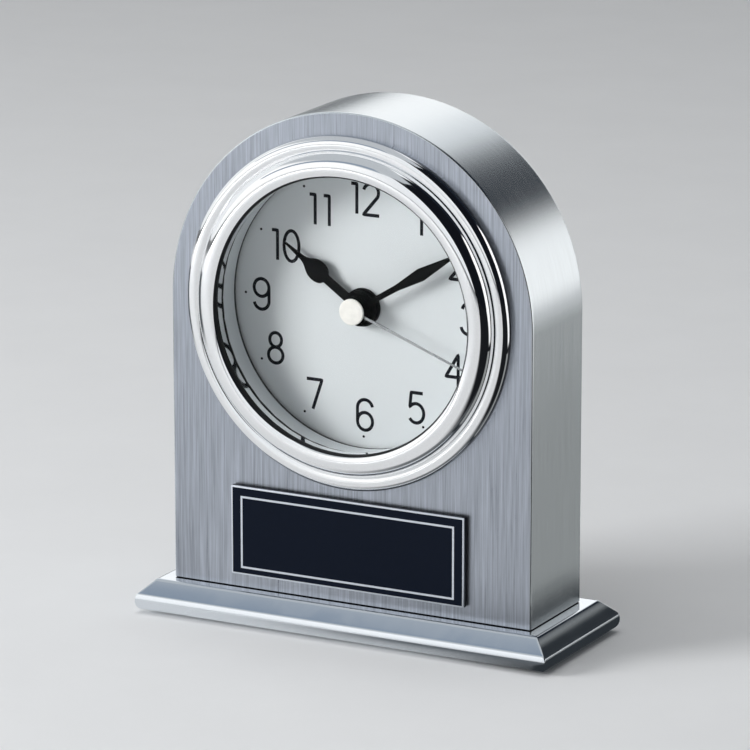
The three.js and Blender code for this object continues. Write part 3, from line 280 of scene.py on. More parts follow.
class RearSettings(PropertyGroup):
    """Sizes and colours of what shows at the rear."""
    edge: length("Edge round", "Chamfer on the moulded edges", 0.3)
    window_rim: length("Window rim", "Width of the rim round the rear window", 1.1)
    window_rise: length("Window rise", "Height of the rim round the rear window", 0.4)
    groove_radius: length("Groove radius", "Middle of the groove in the insert cup", 27.9)
    groove: length("Groove", "Half width and depth of the groove", 0.4)
    door_seat: length("Door seat", "Radius of the hole under the battery door", 6.2)
    rib_length: length("Rib length", "Length of the battery door's grip", 8.0)
    rib_width: length("Rib width", "Width of the battery door's grip", 1.6)
    rib_height: length("Rib height", "Height of the battery door's grip", 0.6)
    knob_height: length("Knob height", "Height of the set knob", 3.2)
    knob_radius: length("Knob radius", "Radius of the set knob", 5.0)
    knob_stem: length("Knob stem", "Radius of the set knob's stem", 1.1)
    flute: length("Flute", "Depth of the set knob's flutes", 0.4)
    cup_wall: length("Cup wall", "Wall of the insert cup", 1.3)
    cup_floor: length("Cup floor", "Thickness of the cup's rear", 1.5)
    cup_step: length("Cup step", "Depth of the cup's ledge behind the dial", 1.2)
    window_gap: length("Window gap", "Room between the cup and the rear window", 0.4)
    window_lip: length("Window lip", "Chamfer on the rim round the rear window", 0.2)
    screw_hole: length("Screw hole", "Radius of the cover's screw holes", 1.25)
    screw_shank: length("Screw shank", "Radius of the cover's screws", 1.1)
    door_sink: length("Door sink", "Depth of the battery door's seat", 1.1)
    door_thickness: length("Door thickness", "Thickness of the battery door", 1.0)
    rib_draft: length("Rib draft", "Slope on the sides of the battery door's grip", 0.2)
    knob_edge: length("Knob edge", "Chamfer on the set knob", 0.35)
    knob_rim: length("Knob rim", "Width of the rim round the knob's dish", 1.1)
    knob_dish: length("Knob dish", "Depth of the knob's dish", 0.4)
    plastic_colour: colour("Plastic", "Black moulded plastic", 0.017, 0.018, 0.02)
    steel_colour: colour("Steel", "Screws", 0.56, 0.57, 0.58)


class StageSettings(PropertyGroup):
    """Camera, floor and light."""
    view_turn: angle("View turn", "Camera turned to the right of the front", 27.66)
    view_rise: angle("View rise", "Camera raised over the horizon", 14.54)
    view_distance: length("View distance", "Camera from the point it looks at", 1056.9)
    view_height: length("View height", "Height of the point it looks at", 51.38)
    view_left: length("View left", "How far that point lies left of the middle", 0.2)
    focal_length: amount("Focal length", "Focal length of the camera in millimetres", 255.46)
    floor_colour: colour("Floor", "Pale floor", 0.80, 0.81, 0.82)
    floor_radius: length("Floor radius", "Radius of the floor", 30000.0)
    key_power: amount("Key power", "Power of the light from the left", 13.5)
    top_power: amount("Top power", "Power of the light from above", 7.0)
    sky: amount("Sky", "Strength of the light from all round", 0.22)
    backdrop: amount("Backdrop", "Strength of the pale surroundings in metal and glass", 0.92)
    sky_colour: colour("Sky colour", "Tint of the light from all round", 0.95, 0.975, 1.0)


class ClockSettings(PropertyGroup):
    """All settings of the clock."""
    case: PointerProperty(type=CaseSettings)
    base: PointerProperty(type=BaseSettings)
    plate: PointerProperty(type=PlateSettings)
    bezel: PointerProperty(type=BezelSettings)
    dial: PointerProperty(type=DialSettings)
    hands: PointerProperty(type=HandSettings)
    rear: PointerProperty(type=RearSettings)
    stage: PointerProperty(type=StageSettings)


# Mesh helpers


def turns(end, steps, start=0.0):
    """Angles from start to end in even steps."""
    return [start + (end - start) * step / steps for step in range(steps + 1)]


def wire(bm, points, closed=True):
    """Edges through a few points."""
    verts = [bm.verts.new(point) for point in points]
    following = verts[1:] + verts[:1] if closed else verts[1:]
    return [bm.edges.new(pair) for pair in zip(verts, following)]


def round_loop(bm, radius, place, steps):
    """The edges of a circle."""
    made = bmesh.ops.create_circle(bm, segments=steps, radius=radius, matrix=place)
    return list(dict.fromkeys(edge for vert in made["verts"] for edge in vert.link_edges))


def circle(bm, radius, y, centre=CENTRE, steps=RING_STEPS):
    """A circle of edges that faces along Y."""
    place = Matrix.Translation((centre.x, y, centre.z)) @ Matrix.Rotation(math.pi / 2, 4, "X")
    return round_loop(bm, radius, place, steps)


def stack(bm, rows, centre=CENTRE, steps=RING_STEPS):
    """Circles given by radius and depth, with a wall from each to the next."""
    rings = [circle(bm, radius, y, centre, steps) for radius, y in rows]
    bridge(bm, *rings)
    return rings


def arch(bm, half_width, y, bottom):
    """The outline of the case: two feet, straight sides and a round top."""
    tangent = SPRING_Z - HOLD
    points = [(-half_width, y, bottom), (half_width, y, bottom), (half_width, y, tangent)]
    for turn in turns(math.pi, ARCH_STEPS):
        points.append((half_width * math.cos(turn), y, SPRING_Z + half_width * math.sin(turn)))
    points.append((-half_width, y, tangent))
    return wire(bm, points)


def rectangle(bm, half_x, half_y, z, corner):
    """A level rectangle of edges with small round corners and flat sides between them."""
    points = []
    for quarter in range(4):
        middle = Vector(((half_x - corner) * (1 if quarter in (0, 3) else -1),
                         (half_y - corner) * (1 if quarter < 2 else -1), z))
        start, end = math.pi / 2 * quarter, math.pi / 2 * (quarter + 1)
        bend = [middle + corner * Vector((math.cos(turn), math.sin(turn), 0))
                for turn in turns(end, CORNER_STEPS, start)]
        points.append(bend[0] + HOLD * Vector((math.sin(start), -math.cos(start), 0)))
        points += bend
        points.append(bend[-1] + HOLD * Vector((-math.sin(end), math.cos(end), 0)))
    return wire(bm, points)


def bridge(bm, *loops):
    """Faces from each loop to the next, flat where both lie in one plane."""
    for near, far in zip(loops, loops[1:]):
        places = [vert.co for edge in near + far for vert in edge.verts]
        spans = [max(axis) - min(axis) for axis in zip(*places)]
        if min(spans) < LEVEL:
            fill(bm, [float(span == min(spans)) for span in spans], near, far)
        else:
            bmesh.ops.bridge_loops(bm, edges=near + far)


def fill(bm, normal, *loops):
    """A flat face inside the first loop, with the other loops as holes."""
    edges = [edge for loop in loops for edge in loop]
    bmesh.ops.triangle_fill(bm, use_beauty=True, use_dissolve=False, edges=edges, normal=normal)


def turned(bm, profile, steps=RING_STEPS, closed=True):
    """A profile of radius and depth turned about the axis of the dial."""
    edges = wire(bm, [(radius, y, CENTRE.z) for radius, y in profile], closed)
    verts = list(dict.fromkeys(vert for edge in edges for vert in edge.verts))
    bmesh.ops.spin(
        bm, geom=verts + edges, cent=CENTRE, axis=(0, 1, 0), angle=2 * math.pi, steps=steps,
        use_merge=True)


def box_between(bm, low, high):
    """A block between two corners."""
    place = Matrix.Translation((low + high) / 2) @ Matrix.Diagonal((*(high - low), 1))
    bmesh.ops.create_cube(bm, size=1.0, matrix=place)


def round_edges(bm, edges, width, segments=2):
    """A small round along edges."""
    bmesh.ops.bevel(
        bm, geom=edges, offset=width, offset_type="OFFSET", segments=segments, profile=0.5,
        affect="EDGES", material=-1, clamp_overlap=True)


def close_up(bm):
    """Merge shared points and turn the faces outwards."""
    bmesh.ops.remove_doubles(bm, verts=bm.verts, dist=MERGE)
    bmesh.ops.recalc_face_normals(bm, faces=bm.faces)


def make_piece(bm, name, slot, nodes, *finishes, body="clock_body", crease=CREASE):
    """Turn a finished bmesh into a piece that rides a body and stands for CAD nodes."""
    close_up(bm)
    piece = new_object(bm, name, *finishes)
    piece.data.shade_smooth()
    piece.data.set_sharp_from_angle(angle=math.radians(crease))
    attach(piece, body)
    if nodes:
        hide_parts(*nodes)
    return piece


def new_object(bm, name, *finishes):
    """An object in the scene with the mesh and its materials."""
    mesh = bpy.data.meshes.new(name)
    bm.to_mesh(mesh)
    bm.free()
    for finish in finishes:
        mesh.materials.append(finish)
    made = bpy.data.objects.new(name, mesh)
    bpy.context.scene.collection.objects.link(made)
    return made


# Shader helpers


def add_node(tree, kind, inputs=None, **attributes):
    """A node with its attributes set and its inputs linked or given a value."""
    node = tree.nodes.new(kind)
    for name, value in attributes.items():
        setattr(node, name, value)
    for name, value in (inputs or {}).items():
        connect(tree, value, node.inputs[name])
    return node


def connect(tree, value, socket):
    """Link a socket, or set its value."""
    if isinstance(value, bpy.types.NodeSocket):
        tree.links.new(value, socket)
    else:
        socket.default_value = value


def shaded(tint, share):
    """A colour setting made lighter or darker, as a shader colour."""
    return tuple(min(1.0, part * share) for part in tint) + (1.0,)


def calculate(tree, operation, first, second):
    """The result of a math operation on two values."""
    node = add_node(tree, "ShaderNodeMath", {0: first, 1: second}, operation=operation)
    return node.outputs["Value"]


def mix(tree, share, first, second):
    """A value between two others."""
    node = add_node(tree, "ShaderNodeMix", {"Factor": share, "A": first, "B": second})
    return node.outputs["Result"]


def remap(tree, value, low=0.0, high=1.0, start=0.0, end=1.0, kind="LINEAR"):
    """A value between start and end, turned into one between low and high."""
    return add_node(tree, "ShaderNodeMapRange", {
        "Value": value, "From Min": start, "From Max": end, "To Min": low, "To Max": high},
        interpolation_type=kind).outputs["Result"]


def noise(tree, place, scale, detail, roughness, distortion=0.0):
    """Cloudy noise from 0 to 1."""
    return add_node(tree, "ShaderNodeTexNoise", {
        "Vector": place, "Scale": scale, "Detail": detail, "Roughness": roughness,
        "Distortion": distortion}).outputs["Fac"]


def blend_shaders(tree, share, first, second):
    """Show a shader between two others."""
    both = add_node(tree, "ShaderNodeMixShader", {0: share, 1: first, 2: second})
    connect(tree, both.outputs["Shader"], tree.nodes["Material Output"].inputs["Surface"])


def brush_streaks(tree, place, across, along):
    """Long fine streaks, as left by a brushing belt."""
    stretch = add_node(tree, "ShaderNodeCombineXYZ", {"X": across, "Y": along, "Z": 1.0})
    drawn = add_node(tree, "ShaderNodeVectorMath", {
        0: place, 1: stretch.outputs["Vector"]}, operation="MULTIPLY").outputs["Vector"]
    fine = noise(tree, drawn, scale=1.0, detail=4.0, roughness=0.65)
    broad = noise(tree, drawn, scale=0.45, detail=2.0, roughness=0.5)
    return remap(tree, mix(tree, 0.2, fine, broad), start=0.3, end=0.7)


def fine_grain(tree, place, scale):
    """Even fine grain, as on moulded plastic or blasted metal."""
    return remap(tree, noise(tree, place, scale, detail=3.0, roughness=0.6), start=0.3, end=0.7)


def handling_marks(tree, place, scale):
    """Soft smudges and dull patches, as left by fingers and cloths."""
    smudge = noise(tree, place, scale, detail=5.0, roughness=0.55, distortion=0.6)
    return remap(tree, smudge, start=0.42, end=0.72, kind="SMOOTHSTEP")


def mask_of(tree, effect, place, **values):
    """The mask of an effect, which is drawn once as a node group that materials share."""
    name = effect.__name__.replace("_", " ").title()
    group = bpy.data.node_groups.get(name)
    if not group:
        group = bpy.data.node_groups.new(name, "ShaderNodeTree")
        group.interface.new_socket("Place", in_out="INPUT", socket_type="NodeSocketVector")
        for label in values:
            group.interface.new_socket(label, in_out="INPUT", socket_type="NodeSocketFloat")
        group.interface.new_socket("Mask", in_out="OUTPUT", socket_type="NodeSocketFloat")
        start = group.nodes.new("NodeGroupInput").outputs
        drawn = effect(group, start["Place"], *(start[label] for label in values))
        connect(group, drawn, group.nodes.new("NodeGroupOutput").inputs["Mask"])
    node = add_node(tree, "ShaderNodeGroup", {"Place": place, **values}, node_tree=group)
    return node.outputs["Mask"]


def new_finish(name, values):
    """A material with one Principled shader, its tree, and the Object coordinates."""
    material = bpy.data.materials.new(name)
    material.use_nodes = True
    tree = material.node_tree
    shader = tree.nodes["Principled BSDF"]
    for label, value in values.items():
        shader.inputs[label].default_value = value
    place = add_node(tree, "ShaderNodeTexCoord").outputs["Object"]
    return material, tree, shader, place


def tone(tree, shader, mask, tint, low, high):
    """Colour that a mask makes darker and lighter by two shares."""
    colours = add_node(tree, "ShaderNodeMix", {
        0: mask, 6: shaded(tint, low), 7: shaded(tint, high)}, data_type="RGBA")
    connect(tree, colours.outputs[2], shader.inputs["Base Color"])


def wear(tree, shader, mask, roughness):
    """Roughness that a mask moves between two values."""
    connect(tree, remap(tree, mask, *roughness), shader.inputs["Roughness"])


def relief(tree, shader, mask, millimetres):
    """Fine relief from a mask."""
    bump = add_node(tree, "ShaderNodeBump", {
        "Strength": 1.0, "Distance": millimetres * MM, "Height": mask})
    connect(tree, bump.outputs["Normal"], shader.inputs["Normal"])


def brushed_metal(name, tint):
    """Metal with streaks that follow the piece's own brush map, by its row in BRUSHED."""
    across, along, contrast, roughness, height = BRUSHED[name]
    material, tree, shader, place = new_finish(name, {"Metallic": 1.0})
    brush = add_node(tree, "ShaderNodeUVMap", uv_map="brush").outputs["UV"]
    streaks = mask_of(tree, brush_streaks, brush, Across=across, Along=along)
    marks = mask_of(tree, handling_marks, place, Scale=BRUSHED_MARKS)
    tone(tree, shader, streaks, tint, 1 - contrast, 1 + contrast)
    wear(tree, shader, mix(tree, BRUSHED_WEAR, streaks, marks), roughness)
    relief(tree, shader, streaks, height)
    return material


def polished_metal(name, tint):
    """Bright metal with faint marks of handling, by its row in POLISHED."""
    roughness, scale = POLISHED[name]
    material, tree, shader, place = new_finish(name, {"Metallic": 1.0})
    grain = mask_of(tree, fine_grain, place, Scale=POLISHED_GRAIN)
    tone(tree, shader, grain, tint, 1 - POLISHED_CONTRAST, 1 + POLISHED_CONTRAST)
    wear(tree, shader, mask_of(tree, handling_marks, place, Scale=scale), roughness)
    return material


def grained(name, tint):
    """A moulded, printed, blasted or drawn surface with an even grain, by its row in GRAINED."""
    metallic, specular, roughness, scale, contrast, height = GRAINED[name]
    material, tree, shader, place = new_finish(
        name, {"Metallic": metallic, "Specular IOR Level": specular})
    grain = mask_of(tree, fine_grain, place, Scale=scale)
    tone(tree, shader, grain, tint, 1 - contrast, 1 + contrast)
    wear(tree, shader, mask_of(tree, handling_marks, place, Scale=GRAINED_MARKS), roughness)
    relief(tree, shader, grain, height)
    return material


def felt(tint):
    """Pressed wool: tangled fibres with a soft sheen."""
    material, tree, shader, place = new_finish(
        "pressed felt", {"Sheen Weight": 0.4, "Sheen Roughness": 0.5})
    fibre = noise(tree, place, scale=1800.0, detail=6.0, roughness=0.7, distortion=1.8)
    tufts = mix(tree, 0.35, fibre, mask_of(tree, handling_marks, place, Scale=260.0))
    tone(tree, shader, tufts, tint, 0.5, 1.7)
    wear(tree, shader, fibre, (0.85, 1.0))
    relief(tree, shader, tufts, 0.12)
    return material


def lens_glass():
    """Clear flat glass that lets the light through to the dial."""
    material, tree, shader, place = new_finish("lens glass", {
        "Base Color": (0.985, 0.995, 0.99, 1.0), "Transmission Weight": 1.0, "IOR": 1.09})
    wear(tree, shader, mask_of(tree, handling_marks, place, Scale=70.0), (0.0, 0.012))
    path = add_node(tree, "ShaderNodeLightPath").outputs
    through = calculate(tree, "MAXIMUM", path["Is Shadow Ray"], path["Is Diffuse Ray"])
    clear = add_node(tree, "ShaderNodeBsdfTransparent")
    blend_shaders(tree, through, shader.outputs["BSDF"], clear.outputs["BSDF"])
    return material


# Brushed finishes: streaks across and along a metre, contrast, roughness, relief in millimetres.
# They share the marks in a metre, and the part that marks have in the roughness.
BRUSHED_MARKS = 45.0
BRUSHED_WEAR = 0.3
BRUSHED = {
    "brushed front": (2700.0, 48.0, 0.35, (0.26, 0.40), 0.005),
    "satin wrap": (2600.0, 60.0, 0.05, (0.20, 0.27), 0.0005),
}

# Polished finishes: roughness, and marks in a metre. They share the grain.
POLISHED_GRAIN = 2500.0
POLISHED_CONTRAST = 0.015
POLISHED = {
    "polished base": ((0.07, 0.15), 70.0),
    "polished bezel": ((0.03, 0.09), 55.0),
}

# Grained finishes: metallic, specular level, roughness, grains in a metre, contrast, relief in
# millimetres. They share the marks in a metre.
GRAINED_MARKS = 90.0
GRAINED = {
    # The foot gap's finish is painted shade, kept near black
    "foot seam": (0.0, 0.1, (0.6, 0.75), 3000.0, 0.2, 0.004),
    "navy plate": (0.0, 0.08, (0.28, 0.38), 5200.0, 0.12, 0.0012),
    "plate border": (0.6, 0.5, (0.32, 0.42), 5200.0, 0.05, 0.0008),
    "blackened lip": (0.0, 0.2, (0.4, 0.55), 3800.0, 0.15, 0.001),
    "silvered dial": (0.0, 0.5, (0.42, 0.5), 6500.0, 0.018, 0.0008),
    "satin ring": (0.25, 0.5, (0.3, 0.42), 5200.0, 0.02, 0.0008),
    # The ring foot's finish is painted shadow
    "dark ring foot": (0.0, 0.5, (0.45, 0.6), 3800.0, 0.15, 0.001),
    "dial ink": (0.0, 0.1, (0.4, 0.55), 7000.0, 0.15, 0.0006),
    "blackened nut": (0.0, 0.06, (0.35, 0.5), 4200.0, 0.12, 0.001),
    "hand black": (0.0, 0.06, (0.3, 0.42), 5200.0, 0.1, 0.0008),
    "second hand silver": (1.0, 0.5, (0.24, 0.34), 5200.0, 0.04, 0.0006),
    "ivory cap": (0.0, 0.5, (0.34, 0.5), 900.0, 0.06, 0.004),
    "moulded black": (0.0, 0.5, (0.42, 0.58), 2600.0, 0.18, 0.006),
    "smooth black": (0.0, 0.5, (0.24, 0.36), 5200.0, 0.1, 0.001),
    "screw steel": (1.0, 0.5, (0.22, 0.38), 4200.0, 0.06, 0.001),
    "works steel": (1.0, 0.5, (0.22, 0.38), 4200.0, 0.06, 0.001),
    "works brass": (1.0, 0.5, (0.24, 0.4), 4200.0, 0.06, 0.001),
    "works copper": (0.9, 0.5, (0.3, 0.45), 3000.0, 0.16, 0.01),
    "works black rubber": (0.0, 0.5, (0.6, 0.8), 1500.0, 0.25, 0.01),
    "works black plastic": (0.0, 0.5, (0.42, 0.58), 2600.0, 0.18, 0.006),
    "works pale plastic": (0.0, 0.5, (0.35, 0.5), 3200.0, 0.04, 0.003),
    "works tape": (0.0, 0.5, (0.6, 0.75), 1400.0, 0.12, 0.01),
    "works board green": (0.0, 0.5, (0.3, 0.45), 2200.0, 0.2, 0.004),
    "works magnet": (0.6, 0.5, (0.4, 0.55), 2600.0, 0.15, 0.004),
}

# Colours of the movement's slots
WORKS = {
    "steel": (0.56, 0.57, 0.58),
    "brass": (0.72, 0.52, 0.22),
    "copper": (0.62, 0.25, 0.11),
    "black_rubber": (0.014, 0.014, 0.015),
    "black_plastic": (0.017, 0.018, 0.02),
    "pale_plastic": (0.66, 0.66, 0.62),
    "tape": (0.55, 0.53, 0.48),
    "board_green": (0.02, 0.13, 0.06),
    "magnet": (0.12, 0.12, 0.125),
}


# Shapes

# Hub and bore radius of each hand, and the cap's dimple as a share of the cap
HUBS = {
    "hour": (3.6 * MM, 1.95 * MM),
    "minute": (2.8 * MM, 1.3 * MM),
    "second": (1.5 * MM, 0.65 * MM),
}
DIMPLE = 0.35

# A screw head's dome and the two levels of its recess, in shares of its radius and height
DOME = ((1.0, 0.0), (1.0, 0.4), (0.93, 0.72), (0.78, 0.92), (0.62, 1.0))
RECESS = ((0.5, 1.0), (0.36, 0.35))
CROSS = ((-0.28, -1), (0.28, -1), (0.28, -0.28), (1, -0.28), (1, 0.28), (0.28, 0.28),
         (0.28, 1), (-0.28, 1), (-0.28, 0.28), (-1, 0.28), (-1, -0.28), (-0.28, -0.28))
SQUARE = ((-1, -1), (1, -1), (1, 1), (-1, 1))

# Each screw is turned this much further, in radians
SCREW_TURN = 0.4

# Flutes round the knob, and how narrow they are
FLUTES = 20
SCOOP = 1.5

# Longer runs of a stroke than the first get points at the second from their corners
LONG_RUN = 0.15
CORNER_HOLD = 0.03


def chamfered(inner, outer, low, high, edge):
    """The profile of a disc or a ring with chamfers round its outside."""
    return [(inner, high), (outer - edge, high), (outer, high - edge),
            (outer, low + edge), (outer - edge, low), (inner, low)]


def bow(across, up, wide, tall, start, end):
    """A curved stroke: part of an ellipse between two angles in degrees."""
    bend = [math.radians(turn) for turn in turns(end, STROKE_STEPS, start)]
    return [(across + wide * math.cos(turn), up + tall * math.sin(turn)) for turn in bend]


def hoop(across, up, wide, tall):
    """A closed stroke."""
    points = bow(across, up, wide, tall, 0, 360)
    return points[:-1] + points[:1]


def held(stroke):
    """A stroke with points beside its corners, which keep its width."""
    points = [Vector(stroke[0])]
    for start, end in zip(stroke, stroke[1:]):
        start, end = Vector(start), Vector(end)
        run = (end - start).length
        if run > LONG_RUN:
            points += [start.lerp(end, CORNER_HOLD / run), end.lerp(start, CORNER_HOLD / run)]
        points.append(end)
    return points


# Figures as strokes, in parts of their height
FIGURES = {
    "0": [hoop(0, 0.5, 0.27, 0.5)],
    "1": [[(-0.2, 0.965), (0, 0.965), (0, 0)]],
    "2": [bow(0, 0.73, 0.265, 0.27, 165, -32) + [(-0.27, 0.0), (0.29, 0.0)]],
    "3": [bow(0, 0.755, 0.235, 0.245, 168, -90), bow(0, 0.265, 0.27, 0.265, 90, -172)],
    "4": [[(0.13, 0), (0.13, 1), (-0.3, 0.27), (0.29, 0.27)]],
    "5": [[(0.24, 0.98), (-0.17, 0.98), (-0.22, 0.5)] + bow(0, 0.315, 0.275, 0.315, 140, -145)],
    "6": [bow(0, 0.72, 0.27, 0.28, 12, 180) + [(-0.27, 0.3)], hoop(0, 0.29, 0.27, 0.29)],
    "7": [[(-0.27, 0.98), (0.28, 0.98), (-0.05, 0)]],
    "8": [hoop(0, 0.765, 0.215, 0.235), hoop(0, 0.262, 0.265, 0.262)],
    "9": [bow(0, 0.28, 0.27, 0.28, 192, 360) + [(0.27, 0.7)], hoop(0, 0.71, 0.27, 0.29)],
}


# Pieces


class CaseOperator(Operator):
    """Make the arched case: brushed front wall, satin wrap, the bore for the insert and painted
    shade in the foot gap
    """
    bl_idname = "desk_clock.case"
    bl_label = "Case"

    def execute(self, context):
        own = context.scene.desk_clock.case
        half, bottom = CASE_HIGH.x, CASE_LOW.z + own.foot_gap
        inner, inner_y, floor = half - own.wall, FACE_Y + own.wall, bottom + own.wall
        flat = own.edge + HOLD
        bend = [(own.edge * (1 - math.sin(turn)), own.edge * (1 - math.cos(turn)))
                for turn in turns(math.pi / 2, EDGE_STEPS)]
        rows = [(half - flat, FACE_Y, bottom + HOLD)]
        rows += [(half - inset, FACE_Y + depth, bottom) for inset, depth in bend]
        rows += [(half, FACE_Y + flat, bottom), (half, REAR_Y - flat, bottom)]
        rows += [(half - depth, REAR_Y - inset, bottom) for inset, depth in bend]
        rows += [(half - flat, REAR_Y, bottom + HOLD), (inner, REAR_Y, floor),
                 (inner, inner_y, floor)]
        bm = bmesh.new()
        skin = [arch(bm, *row) for row in rows]
        bridge(bm, *skin)
        bore = GRIP_HIGH.x + own.bore_gap
        bore_front, bore_back = stack(bm, ((bore, FACE_Y), (bore, inner_y)))
        fill(bm, FRONT, skin[0], bore_front)
        fill(bm, REAR, skin[-1], bore_back)
        close_up(bm)
        under = [face for face in bm.faces
                 if face.normal.z < -CASE_FLAT and face.calc_center_median().z < bottom + LEVEL]
        seam = bmesh.ops.inset_region(
            bm, faces=under, thickness=own.foot_inset, depth=own.foot_gap, use_boundary=True,
            use_even_offset=True)["faces"]
        self.lay_brush(bm)
        # The walls of the foot gap take the near-black finish: painted shade in the gap
        for face in seam:
            face.material_index = 2
        make_piece(
            bm, "case", "case_metal", ["case_body"],
            brushed_metal("brushed front", own.front_colour),
            brushed_metal("satin wrap", own.wrap_colour), grained("foot seam", own.seam_colour))
        return {"FINISHED"}

    @staticmethod
    def lay_brush(bm):
        """The brush map: up the front, and round the wrap from front to rear."""
        brush = bm.loops.layers.uv.new("brush")
        for face in bm.faces:
            flat = abs(face.normal.y) > CASE_FLAT
            face.material_index = 0 if face.normal.y < -CASE_FLAT else 1
            for loop in face.loops:
                at = loop.vert.co
                along = at.z
                if at.z > SPRING_Z:
                    along = SPRING_Z + CASE_HIGH.x * math.atan2(at.z - SPRING_Z, abs(at.x))
                loop[brush].uv = (at.x, at.z) if flat else (at.y, along)


class BaseOperator(Operator):
    """Make the polished base with its rim, bevel and rounded edge, and the felt pad under it"""
    bl_idname = "desk_clock.base"
    bl_label = "Base and pad"

    def execute(self, context):
        own = context.scene.desk_clock.base
        self.base(own)
        self.pad(own)
        return {"FINISHED"}

    @staticmethod
    def base(own):
        """The base: a stack of rectangles, with sinks for the two screws."""
        half_x, half_y = BASE_HIGH.x - own.edge_bulge, BASE_HIGH.y - own.edge_bulge
        bottom, top = BASE_LOW.z, BASE_HIGH.z
        run, corner = own.bevel_run, own.corner
        rows = []
        for turn in turns(own.edge_turn, 2 * ROLL_STEPS):
            out = own.edge_bulge * math.sin(turn)
            rise = own.edge_height * (1 - math.cos(turn)) / 2
            rows.append((-out, bottom + rise))
        slope = (top - bottom - rise) / (run + out)
        rows += [(inset, top - drop) for inset, drop in (
            (HOLD - out, (run + out - HOLD) * slope),
            (run - HOLD - corner, (HOLD + corner) * slope), (run - corner, corner * slope),
            (run, corner * own.corner_ease), (run + corner, 0), (run + corner + HOLD, 0))]
        bm = bmesh.new()
        levels = [rectangle(bm, half_x - inset, half_y - inset, z, corner) for inset, z in rows]
        bridge(bm, *levels)
        under, over = [levels[0]], [levels[-1]]
        head, hole, seat = own.screw_head, own.screw_hole, bottom + own.screw_seat
        for x in (-own.screw_spacing / 2, own.screw_spacing / 2):
            sink = [round_loop(bm, radius, Matrix.Translation((x, 0, z)), SMALL_RING_STEPS)
                    for radius, z in ((head, bottom), (head, seat), (hole, seat), (hole, top))]
            bridge(bm, *sink)
            under.append(sink[0])
            over.append(sink[-1])
        fill(bm, DOWN, *under)
        fill(bm, UP, *over)
        make_piece(bm, "base", "base_metal", ["base_plate"],
                   polished_metal("polished base", own.metal_colour))

    @staticmethod
    def pad(own):
        """The felt pad: a thin block with round corners."""
        bm = bmesh.new()
        box_between(bm, PAD_LOW, PAD_HIGH)
        uprights = [edge for edge in bm.edges
                    if abs(edge.verts[0].co.z - edge.verts[1].co.z) > MERGE]
        round_edges(bm, uprights, own.pad_corner, PAD_STEPS)
        lower = [edge for edge in bm.edges if all(vert.co.z < MERGE for vert in edge.verts)]
        round_edges(bm, lower, own.pad_edge)
        pad = make_piece(bm, "felt_pad", "felt", ["base_pad"], felt(own.felt_colour))


class PlateOperator(Operator):
    """Make the bare dark name plate with its light border"""
    bl_idname = "desk_clock.name_plate"
    bl_label = "Name plate"

    def execute(self, context):
        own = context.scene.desk_clock.plate
        bm = bmesh.new()
        box_between(bm, PLATE_LOW, PLATE_HIGH)
        round_edges(bm, bm.edges[:], own.edge)
        close_up(bm)
        for face in bm.faces:
            slanted = max(abs(part) for part in face.normal) < PLATE_FLAT
            face.material_index = int(slanted and face.normal.y < 0)
        front = max((face for face in bm.faces if face.normal.y < -PLATE_FLAT),
                    key=lambda face: face.calc_area())
        middle, size = (PLATE_LOW + PLATE_HIGH) / 2, PLATE_HIGH - PLATE_LOW
        lower = middle - Vector((0, 0, own.border_drop))
        rim, line = 2 * (own.edge + own.rim), 2 * own.line
        self.inset_to(bm, front, middle, size.x - rim, size.z - rim, 1)
        self.inset_to(bm, front, lower, own.border_width, own.border_height, 0)
        self.inset_to(bm, front, lower, own.border_width - line, own.border_height - line, 1)
        make_piece(bm, "name_plate_face", "plate_blue", ["name_plate"],
                   grained("navy plate", own.field_colour),
                   grained("plate border", own.line_colour))
        return {"FINISHED"}

    @staticmethod
    def inset_to(bm, face, centre, width, height, index):
        """Inset a face to a rectangle, and give the strip round it a finish."""
        strip = bmesh.ops.inset_individual(bm, faces=[face], thickness=FINE_EDGE)["faces"]
        for part in strip:
            part.material_index = index
        for vert in face.verts:
            vert.co.x = centre.x + math.copysign(width / 2, vert.co.x - centre.x)
            vert.co.z = centre.z + math.copysign(height / 2, vert.co.z - centre.z)


